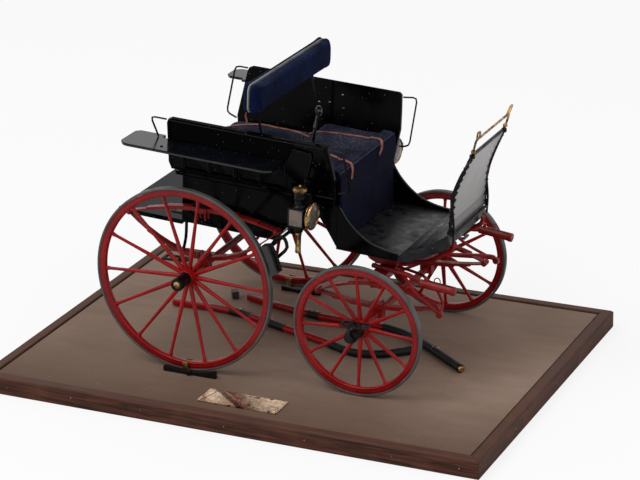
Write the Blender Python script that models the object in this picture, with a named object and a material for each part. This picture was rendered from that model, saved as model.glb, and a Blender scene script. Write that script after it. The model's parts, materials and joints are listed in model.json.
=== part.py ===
"""A scale model of an open four-wheeled phaeton on its display board.

Every size and place below is in millimetres and becomes metres when a piece is
added. +Z is up and +X is forward. There are four frames: the board, with its
origin at the middle of its underside; the carriage, with its origin on top of
the board's panel under the rear axle; the body, level in itself but pitched
nose down on its springs; and the forecarriage, which steers about the kingpin.
"""

import math

import bmesh
import bpy
from mathutils import Vector

MM = 0.001
GAP = 0.3  # Between pieces that touch.
RUN = 0.8  # Between a turning piece and what it turns on.

# The display board.
BOARD_LENGTH = 388.0
BOARD_WIDTH = 282.0
PANEL_TOP = 12.2
PANEL_THICKNESS = 9.0
FRAME_WIDTH = 8.5
FRAME_RISE = 1.0
FRAME_EASING = 1.4
FRAME_LEDGE = 4.0
PANEL_GROOVE = 1.2
PLATE_LENGTH = 61.5
PLATE_WIDTH = 21.0
PLATE_THICKNESS = 0.8
PLATE_X = 4.8
PLATE_INSET = 29.0  # Of its middle from the board's right edge.
PLATE_PIN = 0.8
PLATE_PIN_INSET = 2.6
CARRIAGE_X = -57.4
CARRIAGE_Y = 12.4

# Wheels. Distances across the carriage are from its middle.
REAR_TYRE_RADIUS = 69.85
FRONT_TYRE_RADIUS = 48.74
TYRE_THICKNESS = 1.6
TYRE_WIDTH = 4.7
RIM_WIDTH = 4.4
RIM_DEPTH = 4.7
REAR_RIM_Y = 87.6
FRONT_RIM_Y = 82.7
REAR_SPOKES = 14
FRONT_SPOKES = 12
SPOKE_ROOT = 1.45
SPOKE_TIP = 1.05
REAR_HUB_Y = 81.0
FRONT_HUB_Y = 77.0
HUB_LENGTH = 10.0
HUB_RADIUS = 6.9
HUB_END_RADIUS = 5.7
CAP_RADIUS = 4.6
CAP_LIP = 0.35
CAP_LENGTH = 13.6
WHEELBASE = 132.9
RIM_FACETS = 2  # Flat stretches of rim to each spoke.

# Axles and springs.
AXLE_ARM = 2.2
AXLE_RADIUS = 2.6
AXLE_COLLAR = 4.8
COLLAR_WIDTH = 2.4
SPRING_WIDTH = 5.0
LEAF = 1.0
EYE_RADIUS = 2.1
SPRING_STANDOFF = 5.0  # Of a rear spring's middle from the boot's side.
REAR_SPRING_HALF = 59.5
REAR_SPRING_EYE = 29.5
REAR_SPRING_RISE = 40.5
REAR_SPRING_PAD = 1.0
FRONT_SPRING_Y = 46.0
FRONT_SPRING_HALF = 46.0
FRONT_SPRING_EYE = 7.0
FRONT_SPRING_RISE = 20.4
FRONT_SPRING_PAD = 0.7

# Forecarriage.
KINGPIN_RADIUS = 1.7
TURNTABLE_RADIUS = 26.0
TURNTABLE_THICKNESS = 2.0
BOLSTER_WIDTH = 12.0
BOLSTER_HEIGHT = 4.2
FUTCHELL_RADIUS = 1.9
SOCKET_RADIUS = 3.1
SOCKET_BORE = 1.9
STAY_RADIUS = 1.1
NECK_RADIUS = 1.7
NECK_Y = 28.0
STEP_LENGTH = 20.0
STEP_DEPTH = 9.0
STEP_THICKNESS = 1.4
STEP_BOSS = 3.2
STEP_STEM = 1.0
FRONT_STEP_HEIGHT = 57.6

# The body, in its own level frame.
BODY_PITCH = 3.5
BODY_PIVOT = 97.0
BOOT_HALF_WIDTH = 50.0
REAR_SPRING_Y = BOOT_HALF_WIDTH + SPRING_STANDOFF
BOOT_FLOOR = 0.8
BOOT_REAR = -20.0
BOOT_FRONT = 102.5
SEAT_DECK = 42.0
DRIVER_DECK = 53.0
DRIVER_DECK_REAR = 46.4
MOULDING_HEIGHT = 3.6
SIDE_OVERHANG = 5.0  # Of a seat side's foot past the boot.
SIDE_HALF_WIDTH = BOOT_HALF_WIDTH + SIDE_OVERHANG
SIDE_FLARE = 16.0
SIDE_HEIGHT = 45.3
SIDE_THICKNESS = 2.4
SIDE_REAR = -28.0
SIDE_FRONT = 103.5
PANEL_COUNT = 4
PANEL_REAR = -14.5
PANEL_FRONT = 64.0
PANEL_LOW = 3.4
PANEL_HIGH = 23.8
PILLAR_WIDTH = 3.6
PANEL_SINK = 0.8
FOOT_SIDE_THICKNESS = 2.4
FLOOR_LOW = 3.8
FLOOR_HIGH = 7.0
TOE_START = WHEELBASE + 17.1
TOE_END = TOE_START + 31.0
TOE_HALF_WIDTH = 34.0
DASH_HALF_WIDTH = 32.4
DASH_TAPER = 3.0  # Narrower at its top on each side.
DASH_GRIP_SPREAD = 5.0
DASH_THICKNESS = 1.5
DASH_IRON_RADIUS = 1.2
REIN_RAIL_RADIUS = 0.9
REIN_RAIL_SPREAD = 1.8  # Of its ends past the iron's middle.
TAILBOARD_LENGTH = 53.5
TAILBOARD_HALF_WIDTH = BOOT_HALF_WIDTH - 5.0
TAILBOARD_THICKNESS = 3.4
TAILBOARD_HINGE = 1.6
FENDER_TOP = 68.0
FENDER_THICKNESS = 2.0
FENDER_REAR = -53.0
FENDER_FRONT = 67.0
FENDER_OUTER = 86.7
FENDER_REAR_INNER = SIDE_HALF_WIDTH + 2.5
LEFT_FENDER_RISE = 6.0
LEFT_FENDER_REAR = -44.5
GUSSET_THICKNESS = 1.6
GUSSET_REACH = 8.0
GUSSET_DROP = 9.0
RAIL_RADIUS = 0.7

# Seats.
CUSHION_HALF_WIDTH = BOOT_HALF_WIDTH - 0.4
FRONT_CUSHION_REAR = 46.4
FRONT_CUSHION_FRONT = 101.0
FRONT_CUSHION_HEIGHT = 7.2
REAR_CUSHION_REAR = -28.0
REAR_CUSHION_FRONT = 43.4
REAR_CUSHION_HEIGHT = 8.2
REAR_CUSHION_DROP = 4.5
REAR_CUSHION_SLOPE = 9.0
BACKREST_U = 36.8
BACKREST_LOW = 94.5
BACKREST_HIGH = 118.0
BACKREST_HALF_WIDTH = SIDE_HALF_WIDTH + 11.0
BACKREST_SHIFT = 6.0
BACKREST_DEPTH = 12.0
BACKREST_STAY_Y = BOOT_HALF_WIDTH - 4.0
BACKREST_STAY = 0.9
FALL_HALF_WIDTH = BOOT_HALF_WIDTH - FOOT_SIDE_THICKNESS - 2 * GAP
FALL_THICKNESS = 1.0
FALL_FOLD = 0.25

# Lamps.
LAMP_U = 84.6
LAMP_Y = SIDE_HALF_WIDTH + 20.0
LAMP_W = 34.5
LAMP_LENGTH = 12.5
LAMP_WIDTH = 12.0
LAMP_HEIGHT = 15.0
CHIMNEY_RADIUS = 3.8
CROWN_RADIUS = 6.2
CROWN_HEIGHT = 6.5
CANDLE_TUBE_RADIUS = 2.2
CANDLE_TUBE_LENGTH = 16.0
LAMP_IRON = 1.3
LENS_RADIUS = 10.0
LENS_GLASS_RADIUS = 8.2
DOOR_THICKNESS = 2.4

# The brake, the rear steps and what lies on the board.
BRAKE_X = 67.0
BRAKE_Z = 103.0
BRAKE_SHAFT = 1.3
BRAKE_ARM = 1.3
BRAKE_LEVER_Y = BOOT_HALF_WIDTH + 3.0
BLOCK_GAP = 2.6
BLOCK_DEPTH = 4.8
BLOCK_WIDTH = 7.0
BLOCK_INSET = 0.6  # Of a block's middle from the rim's.
REAR_STEP_Y = BOOT_HALF_WIDTH - 3.0
REAR_STEP_HEIGHT = 67.0
SHAFT_RADIUS = 3.0
CLIP_WIDTH = 5.0
CLIP_THICKNESS = 0.8
CLIP_HEIGHT = 7.0
CHOCK_THICKNESS = 3.0
CHOCK_REAR_END = 4.0  # Height.
CHOCK_FRONT_END = 5.2
CHOCK_WAIST = 2.0

# Colour, roughness and metallic value of each finish.
FINISHES = {
    "board": ((0.19, 0.14, 0.11), 0.75, 0.0),
    "frame": ((0.06, 0.025, 0.02), 0.45, 0.0),
    "plate": ((0.62, 0.42, 0.22), 0.28, 1.0),
    "wheel_red": ((0.45, 0.022, 0.022), 0.25, 0.0),
    "tyre": ((0.14, 0.14, 0.13), 0.55, 0.3),
    "black": ((0.012, 0.012, 0.014), 0.25, 0.0),
    "body_black": ((0.010, 0.010, 0.013), 0.12, 0.0),
    "iron": ((0.03, 0.03, 0.032), 0.35, 0.4),
    "brass": ((0.60, 0.40, 0.13), 0.25, 1.0),
    "steel": ((0.50, 0.50, 0.50), 0.30, 1.0),
    "wool": ((0.018, 0.022, 0.06), 0.95, 0.0),
    "leather": ((0.30, 0.31, 0.32), 0.40, 0.0),
    "wood": ((0.20, 0.09, 0.04), 0.50, 0.0),
    "glass": ((0.75, 0.78, 0.80), 0.08, 0.0),
}

SIDES = (("right", -1), ("left", 1))


def clear_scene():
    """Removes every object of the startup scene."""
    for obj in list(bpy.data.objects):
        bpy.data.objects.remove(obj)


def add_frame(name, at, turn=(0.0, 0.0, 0.0), parent=None):
    """An empty that carries pieces; at is in millimetres and turn in degrees."""
    frame = bpy.data.objects.new(name, None)
    frame.empty_display_size = 0.02
    frame.location = Vector(at) * MM
    frame.rotation_euler = [math.radians(angle) for angle in turn]
    frame.parent = parent
    bpy.context.collection.objects.link(frame)
    return frame


def material_for(name, finish):
    """A Principled material of a piece's own."""
    colour, roughness, metallic = FINISHES[finish]
    material = bpy.data.materials.new(name)
    material.use_nodes = True
    shader = material.node_tree.nodes["Principled BSDF"]
    shader.inputs["Base Color"].default_value = (*colour, 1.0)
    shader.inputs["Roughness"].default_value = roughness
    shader.inputs["Metallic"].default_value = metallic
    material.diffuse_color = (*colour, 1.0)
    return material


def add_piece(name, solid, finish, parent, at=(0.0, 0.0, 0.0), turn=(0.0, 0.0, 0.0), smooth=0.0):
    """Turns a solid in its own millimetre frame into a named object.

    Edges flatter than the angle smooth, in degrees, are shaded smooth.
    """
    bmesh.ops.scale(solid, vec=(MM, MM, MM), verts=solid.verts)
    mesh = bpy.data.meshes.new(name)
    for face in solid.faces:
        face.smooth = smooth > 0
    for edge in solid.edges:
        edge.smooth = edge.is_manifold and edge.calc_face_angle(0.0) < math.radians(smooth)
    solid.to_mesh(mesh)
    solid.free()
    piece = bpy.data.objects.new(name, mesh)
    piece.location = Vector(at) * MM
    piece.rotation_euler = [math.radians(angle) for angle in turn]
    piece.parent = parent
    mesh.materials.append(material_for(name, finish))
    bpy.context.collection.objects.link(piece)
    return piece


# Solids. Each of these gives a closed bmesh.


def solid_from(points, faces):
    """A closed solid from its points and faces, with its faces outwards."""
    solid = bmesh.new()
    corners = [solid.verts.new(point) for point in points]
    for face in faces:
        solid.faces.new([corners[index] for index in face])
    bmesh.ops.recalc_face_normals(solid, faces=solid.faces)
    return solid


def loft(rings, closed=False):
    """A skin through equally long rings, capped at both ends or closed on itself."""
    count = len(rings[0])
    points = [point for ring in rings for point in ring]
    faces = []
    for here in range(len(rings) if closed else len(rings) - 1):
        there = (here + 1) % len(rings)
        for j in range(count):
            k = (j + 1) % count
            faces.append((here * count + j, here * count + k, there * count + k, there * count + j))
    if not closed:
        faces.append(tuple(range(count)))
        faces.append(tuple(range(len(points) - count, len(points))))
    return solid_from(points, faces)


def across(axis, a, b, along):
    """A point from two coordinates in the plane across an axis and one along it."""
    return {"X": (along, a, b), "Y": (a, along, b), "Z": (a, b, along)}[axis]


def prism(outline, low, high, axis="Y"):
    """An outline drawn across an axis and extruded between two places on it."""
    return loft([[across(axis, a, b, along) for a, b in outline] for along in (low, high)])


def box(low, high):
    """A box between two corners."""
    (x0, y0, z0), (x1, y1, z1) = low, high
    return prism([(x0, z0), (x1, z0), (x1, z1), (x0, z1)], y0, y1)


def turned(profile, segments, axis="Y", centre=(0.0, 0.0), bored=False):
    """A turned solid from (radius, place on the axis) points.

    A bored solid has a closed profile that keeps clear of the axis.
    """
    angles = [2 * math.pi * step / segments for step in range(segments)]

    def point(radius, along, angle):
        a = centre[0] + radius * math.cos(angle)
        b = centre[1] + radius * math.sin(angle)
        return across(axis, a, b, along)

    if bored:
        return loft([[point(r, along, angle) for r, along in profile] for angle in angles], True)
    return loft([[point(r, along, angle) for angle in angles] for r, along in profile])


def rod(radius, low, high, axis="Y", centre=(0.0, 0.0), segments=16):
    """A straight round bar along an axis."""
    return turned([(radius, low), (radius, high)], segments, axis, centre)


def rounded(points, reach, steps=3):
    """A path of 3-D points with each inner corner rounded off."""
    points = [Vector(point) for point in points]
    path = [points[0]]
    for before, corner, after in zip(points, points[1:], points[2:]):
        cut = min(reach, (before - corner).length * 0.45, (after - corner).length * 0.45)
        start = corner + (before - corner).normalized() * cut
        end = corner + (after - corner).normalized() * cut
        for step in range(steps + 1):
            share = step / steps
            path.append(start.lerp(corner, share).lerp(corner.lerp(end, share), share))
    path.append(points[-1])
    return path


def tube(points, radius, sides=8, closed=False):
    """A round bar along a path; radius is one value or one for each point."""
    points = [Vector(point) for point in points]
    count = len(points)
    radii = radius if isinstance(radius, (list, tuple)) else [radius] * count
    rings = []
    normal = None
    for index, point in enumerate(points):
        before = points[(index - 1) % count] if closed or index else point
        after = points[(index + 1) % count] if closed or index < count - 1 else point
        heading = (after - before).normalized()
        if normal is None:
            normal = heading.orthogonal().normalized()
        normal = (normal - heading * normal.dot(heading)).normalized()
        other = heading.cross(normal)
        ring = []
        for side in range(sides):
            angle = 2 * math.pi * side / sides
            ring.append(point + (normal * math.cos(angle) + other * math.sin(angle)) * radii[index])
        rings.append(ring)
    return loft(rings, closed)


def combined(first, others, operation):
    """One solid from several by a stack of Boolean modifiers."""
    made = []
    for solid in (first, *others):
        mesh = bpy.data.meshes.new("tool")
        solid.to_mesh(mesh)
        solid.free()
        made.append(bpy.data.objects.new("tool", mesh))
        bpy.context.collection.objects.link(made[-1])
    for tool in made[1:]:
        modifier = made[0].modifiers.new("cut", "BOOLEAN")
        modifier.operation = operation
        modifier.solver = "EXACT"
        modifier.object = tool
    graph = bpy.context.evaluated_depsgraph_get()
    result = bmesh.new()
    result.from_mesh(made[0].evaluated_get(graph).data)
    for obj in made:
        mesh = obj.data
        bpy.data.objects.remove(obj)
        bpy.data.meshes.remove(mesh)
    bmesh.ops.remove_doubles(result, verts=result.verts, dist=0.002)
    bmesh.ops.dissolve_degenerate(result, edges=result.edges, dist=0.001)
    return result


def joined(first, *others):
    """The union of overlapping solids."""
    return combined(first, others, "UNION")


def cut(first, *tools):
    """A solid with tools cut out of it."""
    return combined(first, tools, "DIFFERENCE")


def in_body(x, z):
    """A carriage place (x, z) as the body's own (u, w)."""
    pitch = math.radians(BODY_PITCH)
    rise = z - BODY_PIVOT
    return x * math.cos(pitch) - rise * math.sin(pitch), x * math.sin(pitch) + rise * math.cos(pitch)


def in_carriage(u, w):
    """A body place (u, w) as the carriage's (x, z)."""
    pitch = math.radians(BODY_PITCH)
    x = u * math.cos(pitch) + w * math.sin(pitch)
    return x, BODY_PIVOT - u * math.sin(pitch) + w * math.cos(pitch)


REAR_AXLE_Z = REAR_TYRE_RADIUS + GAP
FRONT_AXLE_Z = FRONT_TYRE_RADIUS + GAP
REAR_SPRING_Z = REAR_AXLE_Z + AXLE_RADIUS + REAR_SPRING_PAD + GAP
FRONT_SPRING_Z = FRONT_AXLE_Z + AXLE_RADIUS + FRONT_SPRING_PAD + GAP


# The display board and what lies on it.


def mitred_frame(section, half_length, half_width):
    """A frame whose section is given as (distance in from the edge, height)."""
    rings = []
    for along, aside in ((-1, -1), (1, -1), (1, 1), (-1, 1)):
        ring = [(along * (half_length - d), aside * (half_width - d), z) for d, z in section]
        rings.append(ring)
    return loft(rings, closed=True)


def clip_slot(side):
    """The groove in the panel under one rear wheel for its clip."""
    reach = TYRE_WIDTH / 2 + CLIP_THICKNESS + 3 * GAP
    y = CARRIAGE_Y + side * REAR_RIM_Y
    half = CLIP_WIDTH / 2 + GAP
    depth = CLIP_THICKNESS + 2 * GAP
    low = (CARRIAGE_X - half, y - reach, PANEL_TOP - depth)
    return box(low, (CARRIAGE_X + half, y + reach, PANEL_TOP + 1))


def add_board(board):
    """The panel in its mitred frame, and the bare plate pinned to it."""
    inner = FRAME_WIDTH + PANEL_GROOVE
    half = (BOARD_LENGTH / 2 - inner, BOARD_WIDTH / 2 - inner)
    low = PANEL_TOP - PANEL_THICKNESS
    panel = box((-half[0], -half[1], low), (half[0], half[1], PANEL_TOP))
    panel = cut(panel, *(clip_slot(side) for _, side in SIDES))
    add_piece("base_panel", panel, "board", board)
    top = PANEL_TOP + FRAME_RISE
    section = [
        (0, 0),
        (FRAME_WIDTH + FRAME_LEDGE, 0),
        (FRAME_WIDTH + FRAME_LEDGE, low - GAP),
        (FRAME_WIDTH, low - GAP),
        (FRAME_WIDTH, top - FRAME_EASING / 2),
        (FRAME_WIDTH - FRAME_EASING / 2, top),
        (FRAME_EASING, top),
        (0, top - FRAME_EASING),
    ]
    frame = mitred_frame(section, BOARD_LENGTH / 2, BOARD_WIDTH / 2)
    add_piece("base_frame", frame, "frame", board)
    reach = (PLATE_LENGTH / 2, PLATE_WIDTH / 2)
    plate = box((-reach[0], -reach[1], 0), (reach[0], reach[1], PLATE_THICKNESS))
    pins = []
    for along in (-1, 1):
        for aside in (-1, 1):
            centre = (along * (reach[0] - PLATE_PIN_INSET), aside * (reach[1] - PLATE_PIN_INSET))
            profile = [
                (PLATE_PIN, PLATE_THICKNESS / 2),
                (PLATE_PIN, PLATE_THICKNESS + 0.15),
                (PLATE_PIN * 0.6, PLATE_THICKNESS + 0.5),
            ]
            pins.append(turned(profile, 8, "Z", centre))
    place = (PLATE_X, PLATE_INSET - BOARD_WIDTH / 2, PANEL_TOP + GAP)
    add_piece("name_plate", joined(plate, *pins), "plate", board, place)


def wheel_clip(side, bar_y, bar_low, bar_high):
    """A strap round the foot of a rear wheel, with the chock bar on its tongue."""
    half = TYRE_WIDTH / 2 + 2 * GAP
    middle = side * REAR_RIM_Y
    low = -CLIP_THICKNESS - GAP
    outer = half + CLIP_THICKNESS
    section = [
        (middle - outer, low),
        (middle + outer, low),
        (middle + outer, CLIP_HEIGHT),
        (middle + half, CLIP_HEIGHT),
        (middle + half, -GAP),
        (middle - half, -GAP),
        (middle - half, CLIP_HEIGHT),
        (middle - outer, CLIP_HEIGHT),
    ]
    strap = prism(section, -CLIP_WIDTH / 2, CLIP_WIDTH / 2, "X")
    towards = 1 if bar_y > middle else -1
    ends = sorted((middle + towards * (outer - CLIP_THICKNESS / 2), bar_y))
    tongue = box((-CLIP_WIDTH / 2, ends[0], GAP), (CLIP_WIDTH / 2, ends[1], GAP + CLIP_THICKNESS))
    waist = (bar_low + bar_high) / 2
    outline = [
        (bar_low, GAP),
        (bar_high, GAP),
        (bar_high, CHOCK_FRONT_END),
        (waist + CHOCK_WAIST, CHOCK_WAIST + GAP),
        (waist - CHOCK_WAIST, CHOCK_WAIST + GAP),
        (bar_low, CHOCK_REAR_END),
    ]
    bar = prism(outline, bar_y - CHOCK_THICKNESS / 2, bar_y + CHOCK_THICKNESS / 2)
    face = bar_y + towards * (CHOCK_THICKNESS / 2 - 0.5)
    bolt = rod(CHOCK_WAIST * 0.9, *sorted((face, face + towards * 2.4)), centre=(waist, CHOCK_WAIST), segments=8)
    bar = joined(bar, bolt)
    return joined(strap, tongue, bar)


def shaft(points):
    """A bent wooden shaft lying on the panel, a little thinner at its ends."""
    height = SHAFT_RADIUS + GAP
    path = rounded([(x, y, height) for x, y in points], 9.0, 2)
    radii = [SHAFT_RADIUS] * len(path)
    radii[0] = SHAFT_RADIUS * 0.9
    radii[-1] = SHAFT_RADIUS * 0.8
    return tube(path, radii, 8)


def add_loose_pieces(carriage):
    """The clips, chock bars and shafts that lie on the board."""
    add_piece("wheel_clip_right", wheel_clip(-1, -95.2, -15.4, 26.6), "brass", carriage)
    add_piece("wheel_clip_left", wheel_clip(1, 76.0, -2.0, 31.0), "brass", carriage)
    near = [(-66, 16.3), (-17.6, 17.1), (11.8, 8.4), (37.2, -0.2), (79.8, -13.7), (102, -24.4)]
    near += [(125.1, -17), (140.2, -2.4)]
    far = [(-16.2, 46.1), (27.8, 33.7), (70, 28.5), (98.1, 31.2), (129.8, 22.9), (185.9, -20.4)]
    add_piece("shaft_right", shaft(near), "wheel_red", carriage, smooth=40)
    add_piece("shaft_left", shaft(far), "wheel_red", carriage, smooth=40)
    block = box((-2.6, -3.4, 0), (2.6, 3.4, 6.0))
    add_piece("loose_block", block, "wood", carriage, (-28.6, 47.4, GAP), (0, 0, 34.0))


# Wheels.


def wheel(radius, spokes, dish, side):
    """A dished spoked wheel about Y, with its rim's middle plane at zero."""
    segments = spokes * RIM_FACETS
    half = RIM_WIDTH / 2
    outer = radius - TYRE_THICKNESS - GAP
    inner = outer - RIM_DEPTH
    eased = [
        (outer, -half),
        (outer, half),
        (inner + 0.8, half),
        (inner, half - 0.9),
        (inner, -half + 0.9),
        (inner + 0.8, -half),
    ]
    rim = turned(eased, segments, bored=True)
    hub = side * -dish
    bore = AXLE_ARM + RUN
    reach = HUB_LENGTH / 2
    barrel = [
        (bore, hub - reach),
        (HUB_END_RADIUS, hub - reach),
        (HUB_RADIUS, hub - reach * 0.4),
        (HUB_RADIUS, hub + reach * 0.4),
        (HUB_END_RADIUS, hub + reach),
        (bore, hub + reach),
    ]
    pieces = [turned(barrel, 16, bored=True)]
    for index in range(spokes):
        angle = 2 * math.pi * index / spokes
        ray = Vector((math.cos(angle), 0, math.sin(angle)))
        start = ray * (HUB_RADIUS - 1.2) + Vector((0, hub, 0))
        end = ray * (inner + 0.9)
        pieces.append(tube([start, end], [SPOKE_ROOT, SPOKE_TIP], 6))
    return joined(rim, *pieces)


def tyre(radius, spokes):
    """The plain band round a wheel's rim."""
    half = TYRE_WIDTH / 2
    inner = radius - TYRE_THICKNESS
    section = [(radius, -half), (radius, half), (inner, half), (inner, -half)]
    return turned(section, spokes * RIM_FACETS, bored=True)


def hub_cap(side, open_end):
    """The nose on the outer end of a hub; an open one lets the axle arm through."""
    bore = AXLE_ARM + RUN
    end = side * CAP_LENGTH
    outline = [
        (bore, 0),
        (CAP_RADIUS + 0.6, 0),
        (CAP_RADIUS, side * 2.0),
        (CAP_RADIUS, end - side * 3.0),
        (CAP_RADIUS + CAP_LIP, end - side * 2.2),
        (CAP_RADIUS, end),
    ]
    if open_end:
        return turned([*outline, (bore, end)], 16, bored=True)
    solid = turned(outline[1:], 16)
    return cut(solid, rod(bore, -side * 1.0, end - side * 3.0))


def add_wheels(carriage, forecarriage):
    """Four wheels, each with its tyre and cap, and their origins on the axles."""
    sets = (
        ("rear", carriage, 0.0, REAR_AXLE_Z, REAR_TYRE_RADIUS, REAR_SPOKES, REAR_RIM_Y, REAR_HUB_Y),
        ("front", forecarriage, 0.0, FRONT_AXLE_Z, FRONT_TYRE_RADIUS, FRONT_SPOKES, FRONT_RIM_Y, FRONT_HUB_Y),
    )
    for end, parent, x, z, radius, spokes, rim_y, hub_y in sets:
        for hand, side in SIDES:
            place = (x, side * rim_y, z)
            name = f"{end}_{{}}_{hand}"
            solid = wheel(radius, spokes, rim_y - hub_y, side)
            add_piece(name.format("wheel"), solid, "wheel_red", parent, place, smooth=35)
            add_piece(name.format("tyre"), tyre(radius, spokes), "tyre", parent, place, smooth=35)
            cap = hub_cap(side, end == "front")
            seat = (x, side * (hub_y + HUB_LENGTH / 2 + GAP), z)
            add_piece(name.format("hub_cap"), cap, "black", parent, seat, smooth=35)


# Axles and springs.


def axle(hub_y, spring_y, pad, arm_end):
    """An axle about Y with its arms, collars and spring pads."""
    collar = hub_y - HUB_LENGTH / 2 - GAP
    shoulder = collar - COLLAR_WIDTH
    profile = [
        (AXLE_ARM, -arm_end),
        (AXLE_ARM, -collar),
        (AXLE_COLLAR, -collar),
        (AXLE_COLLAR, -shoulder),
        (AXLE_RADIUS, -shoulder),
    ]
    profile += [(radius, -along) for radius, along in reversed(profile)]
    beam = turned(profile, 12)
    half = SPRING_WIDTH / 2 + 0.6
    pads = []
    for _, side in SIDES:
        y = side * spring_y
        pads.append(box((-4.5, y - half, -AXLE_RADIUS - 0.6), (4.5, y + half, AXLE_RADIUS + pad)))
    return joined(beam, *pads)


def slotted_step(x, y, z):
    """A small tread with three slots, centred on a place."""
    half = (STEP_LENGTH / 2, STEP_DEPTH / 2)
    tread = box((x - half[0], y - half[1], z), (x + half[0], y + half[1], z + STEP_THICKNESS))
    slots = []
    for place in (-1, 0, 1):
        middle = x + place * STEP_LENGTH * 0.3
        low = (middle - STEP_LENGTH * 0.1, y - half[1] * 0.6, z - 1)
        slots.append(box(low, (middle + STEP_LENGTH * 0.1, y + half[1] * 0.6, z + STEP_THICKNESS + 1)))
    return cut(tread, *slots)


def add_axles(carriage, forecarriage):
    """The rear axle, and the front one with a step on each end."""
    rear = axle(REAR_HUB_Y, REAR_SPRING_Y, REAR_SPRING_PAD, REAR_HUB_Y + HUB_LENGTH / 2 + 8.0)
    add_piece("rear_axle", rear, "wheel_red", carriage, (0, 0, REAR_AXLE_Z), smooth=35)
    cap_end = FRONT_HUB_Y + HUB_LENGTH / 2 + GAP + CAP_LENGTH
    arm_end = cap_end + 2.4
    beam = axle(FRONT_HUB_Y, FRONT_SPRING_Y, FRONT_SPRING_PAD, arm_end)
    rise = FRONT_STEP_HEIGHT - FRONT_AXLE_Z
    extras = []
    for _, side in SIDES:
        inner, outer = sorted((side * (cap_end + 1.0), side * arm_end))
        extras.append(rod(STEP_BOSS, inner, outer, segments=12))
        extras.append(box((-STEP_STEM, inner, 0.0), (STEP_STEM, outer, rise + STEP_THICKNESS / 2)))
        extras.append(slotted_step(3.0, side * (arm_end - STEP_DEPTH / 2 - 0.2), rise))
    front = joined(beam, *extras)
    add_piece("front_axle", front, "wheel_red", forecarriage, (0, 0, FRONT_AXLE_Z), smooth=35)


def leaf_pack(half_length, crown, eye, side):
    """One bow of a spring: three leaves, the long one inside; side is -1 below, 1 above.

    The long leaf's inner face follows crown + (eye - crown) * (x / half_length) ** 2.
    """

    def inner(share):
        return crown + (eye - crown) * share**2

    steps = (1.0, 0.88, 0.76, 0.76, 0.62, 0.48, 0.48, 0.3, 0.12)
    depth = (1, 1, 1, 2, 2, 2, 3, 3, 3)
    left = [(-share, leaves) for share, leaves in zip(steps, depth)]
    full = left + [(share, leaves) for share, leaves in zip(reversed(steps), reversed(depth))]
    outline = [(share * half_length, inner(share) + side * leaves * LEAF) for share, leaves in full]
    shares = [share for share, _ in full if abs(share) not in (0.76, 0.48)]
    shares += [side_sign * share for side_sign in (-1, 1) for share in (0.76, 0.48)]
    for share in sorted(set(shares), reverse=True):
        outline.append((share * half_length, inner(share)))
    return prism(outline, -SPRING_WIDTH / 2, SPRING_WIDTH / 2)


def elliptic_spring(half_length, eye, rise, bolts):
    """Two bows joined at rolled eyes, standing on zero, with a clip on each crown."""
    lower = leaf_pack(half_length, 3 * LEAF, eye, -1)
    upper = leaf_pack(half_length, rise - 3 * LEAF, eye, 1)
    half = SPRING_WIDTH / 2
    pieces = [upper]
    for end in (-1, 1):
        pieces.append(rod(EYE_RADIUS, -half - 0.7, half + 0.7, centre=(end * half_length, eye), segments=8))
    pieces.append(box((-4.2, -half - 0.6, 3 * LEAF - 0.4), (4.2, half + 0.6, 3 * LEAF + 0.9)))
    pieces.append(box((-4.6, -half - 1.0, rise - 3 * LEAF - 1.0), (4.6, half + 1.0, rise - 0.4)))
    if bolts:
        for x in (-3.2, 3.2):
            for y in (-half - 0.1, half + 0.1):
                pieces.append(rod(0.75, rise - 9.6, rise - 3 * LEAF, "Z", (x, y), 6))
    return joined(lower, *pieces)


def add_springs(carriage, forecarriage):
    """Two springs behind and two in front."""
    for hand, side in SIDES:
        rear = elliptic_spring(REAR_SPRING_HALF, REAR_SPRING_EYE, REAR_SPRING_RISE, True)
        place = (0, side * REAR_SPRING_Y, REAR_SPRING_Z)
        add_piece(f"rear_spring_{hand}", rear, "wheel_red", carriage, place, smooth=25)
        front = elliptic_spring(FRONT_SPRING_HALF, FRONT_SPRING_EYE, FRONT_SPRING_RISE, False)
        place = (0, side * FRONT_SPRING_Y, FRONT_SPRING_Z)
        add_piece(f"front_spring_{hand}", front, "wheel_red", forecarriage, place, smooth=25)


# The forecarriage and the irons that join it to the body.

BOLSTER_LOW = FRONT_SPRING_Z + FRONT_SPRING_RISE + GAP
TURNTABLE_LOW = BOLSTER_LOW + BOLSTER_HEIGHT
UPPER_PLATE_LOW = TURNTABLE_LOW + TURNTABLE_THICKNESS + GAP


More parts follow.
